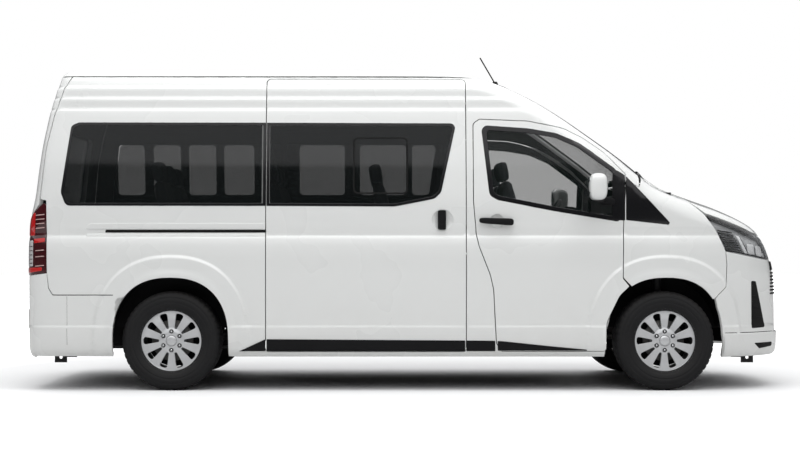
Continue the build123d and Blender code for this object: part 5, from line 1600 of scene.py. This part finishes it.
def pad(name, corner, size, lean, crown, channels=2):
    """A cushion: corner is its low rear right corner, size its lengths, lean its turn about the y axis.
    Its top is crowned, its sides pull in at the edges, and its channels run along its length."""
    nu, nv, nw = 22, 26, 8
    length, width, depth = size
    points, index, faces = [], {}, []

    def point(i, j, k):
        key = (i, j, k)
        if key in index:
            return index[key]
        u, v, w = i / nu * 2 - 1, j / nv * 2 - 1, k / nw * 2 - 1
        pull = 1 - 0.05 * w * w * (abs(u) ** 4 + abs(v) ** 4)
        x = u * length / 2 * pull * (1 - 0.02 * v * v)
        y = v * width / 2 * pull * (1 - 0.02 * u * u)
        swell = (1 - u ** 4) * (1 - v ** 4)
        z = w * depth / 2 * (0.72 + 0.28 * swell)
        if w > 0:
            z += crown * swell * w
            for c in range(channels):
                line = (c + 1) / (channels + 1) * 2 - 1
                z -= 7.0 * w * math.exp(-((v - line) / 0.035) ** 2) * (1 - u ** 8)
        seam = math.exp(-(w / 0.16) ** 2)
        x += math.copysign(2.2 * seam * abs(u) ** 10, u)
        y += math.copysign(2.2 * seam * abs(v) ** 10, v)
        index[key] = len(points)
        points.append((x, y, z))
        return index[key]

    for i in range(nu):
        for j in range(nv):
            faces.append((point(i, j, nw), point(i + 1, j, nw), point(i + 1, j + 1, nw), point(i, j + 1, nw)))
            faces.append((point(i, j + 1, 0), point(i + 1, j + 1, 0), point(i + 1, j, 0), point(i, j, 0)))
    for k in range(nw):
        for i in range(nu):
            faces.append((point(i, 0, k), point(i + 1, 0, k), point(i + 1, 0, k + 1), point(i, 0, k + 1)))
            faces.append((point(i, nv, k + 1), point(i + 1, nv, k + 1), point(i + 1, nv, k), point(i, nv, k)))
        for j in range(nv):
            faces.append((point(0, j, k + 1), point(0, j + 1, k + 1), point(0, j + 1, k), point(0, j, k)))
            faces.append((point(nu, j, k), point(nu, j + 1, k), point(nu, j + 1, k + 1), point(nu, j, k + 1)))
    c, s = math.cos(math.radians(lean)), math.sin(math.radians(lean))
    placed = [(corner[0] + x * c - z * s, corner[1] + y, corner[2] + x * s + z * c) for x, y, z in points]
    thing = new_object(name, placed, faces, fabric, "body")
    return thing


seat_base = plastic("seat_base_steel", (0.03, 0.03, 0.032), 0.5, 700, 0.2, metallic=0.3, dust=0.3)
seat_rows = [("driver", 820, 150, 660, 1), ("passenger", 820, -660, -150, 1),
             ("first_row", -130, -380, 780, 3),
             ("second_row", -930, -380, 780, 3), ("third_row", -1760, -610, 610, 3)]
for label, x, y0, y1, places in seat_rows:
    width = (y1 - y0) / places
    for n in range(places):
        mid = y0 + width * (n + 0.5)
        tag = f"{label}_{n + 1}"
        cushion = pad(f"seat_cushion_{tag}", (x + 232, mid, FLOOR_TOP + 358), (486, width - 14, 112), 2.5, 10)
        back = pad(f"seat_back_{tag}", (x - 28, mid, FLOOR_TOP + 676), (596, width - 26, 104), 104, 9)
        head = pad(f"seat_headrest_{tag}", (x - 112, mid, FLOOR_TOP + 1040), (140, 240, 92), 100, 6, 0)
        for piece in (cushion, back, head):
            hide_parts("front_seats" if x > 0 else "rear_seats")
    rails = [[(x + a + b, y, z) for a, y in ((0, y0 + 70), (0, y1 - 70), (360, y1 - 70), (360, y0 + 70))]
             for b, z in ((60, FLOOR_TOP), (66, FLOOR_TOP + 60), (40, FLOOR_TOP + 240),
                          (40, FLOOR_TOP + 304))]
    base = loft(f"seat_base_{label}", rails, seat_base, "body", 2)

# Carried-over pieces: the running gear, floor and cab mouldings keep their CAD shapes. Enamelled, cast and
# plated metal, carpet and moulded plastic get their finishes here.
rail_black = plastic("frame_enamel", (0.012, 0.012, 0.013), 0.5, 600, 0.3, dust=0.35)
cast_iron = plastic("cast_iron", (0.06, 0.058, 0.055), 0.62, 350, 0.6, metallic=0.6, dust=0.35)
muffler = plastic("aluminised_steel", (0.30, 0.29, 0.28), 0.42, 900, 0.3, metallic=0.9, dust=0.3,
                  variation=0.5)
carpet = plastic("floor_carpet", (0.04, 0.04, 0.043), 0.95, 500, 0.8, dust=0.25)
dash_skin = plastic("dashboard_skin", (0.022, 0.022, 0.024), 0.6, 450, 0.4, dust=0.12)
finishes = {
    "aerial": rubber_seal, "bulkhead": rail_black, "chassis_frame": rail_black, "cowl_panel": black_trim,
    "dashboard": dash_skin, "engine_block": cast_iron, "exhaust": muffler, "floor_pan": carpet,
    "front_suspension": rail_black, "fuel_tank": black_trim, "knuckle_left": cast_iron,
    "knuckle_right": cast_iron,
    "leaf_springs": rail_black, "propeller_shaft": rail_black, "radiator": brake_iron, "rear_axle": cast_iron,
    "sliding_door_handle": black_trim, "spare_wheel": tyre_rubber, "steering_wheel": dash_skin,
    "tow_eyes": rail_black, "wheel_housings": black_trim,
}
for node, finish in finishes.items():
    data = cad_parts[node].data
    data.materials.clear()
    data.materials.append(finish)
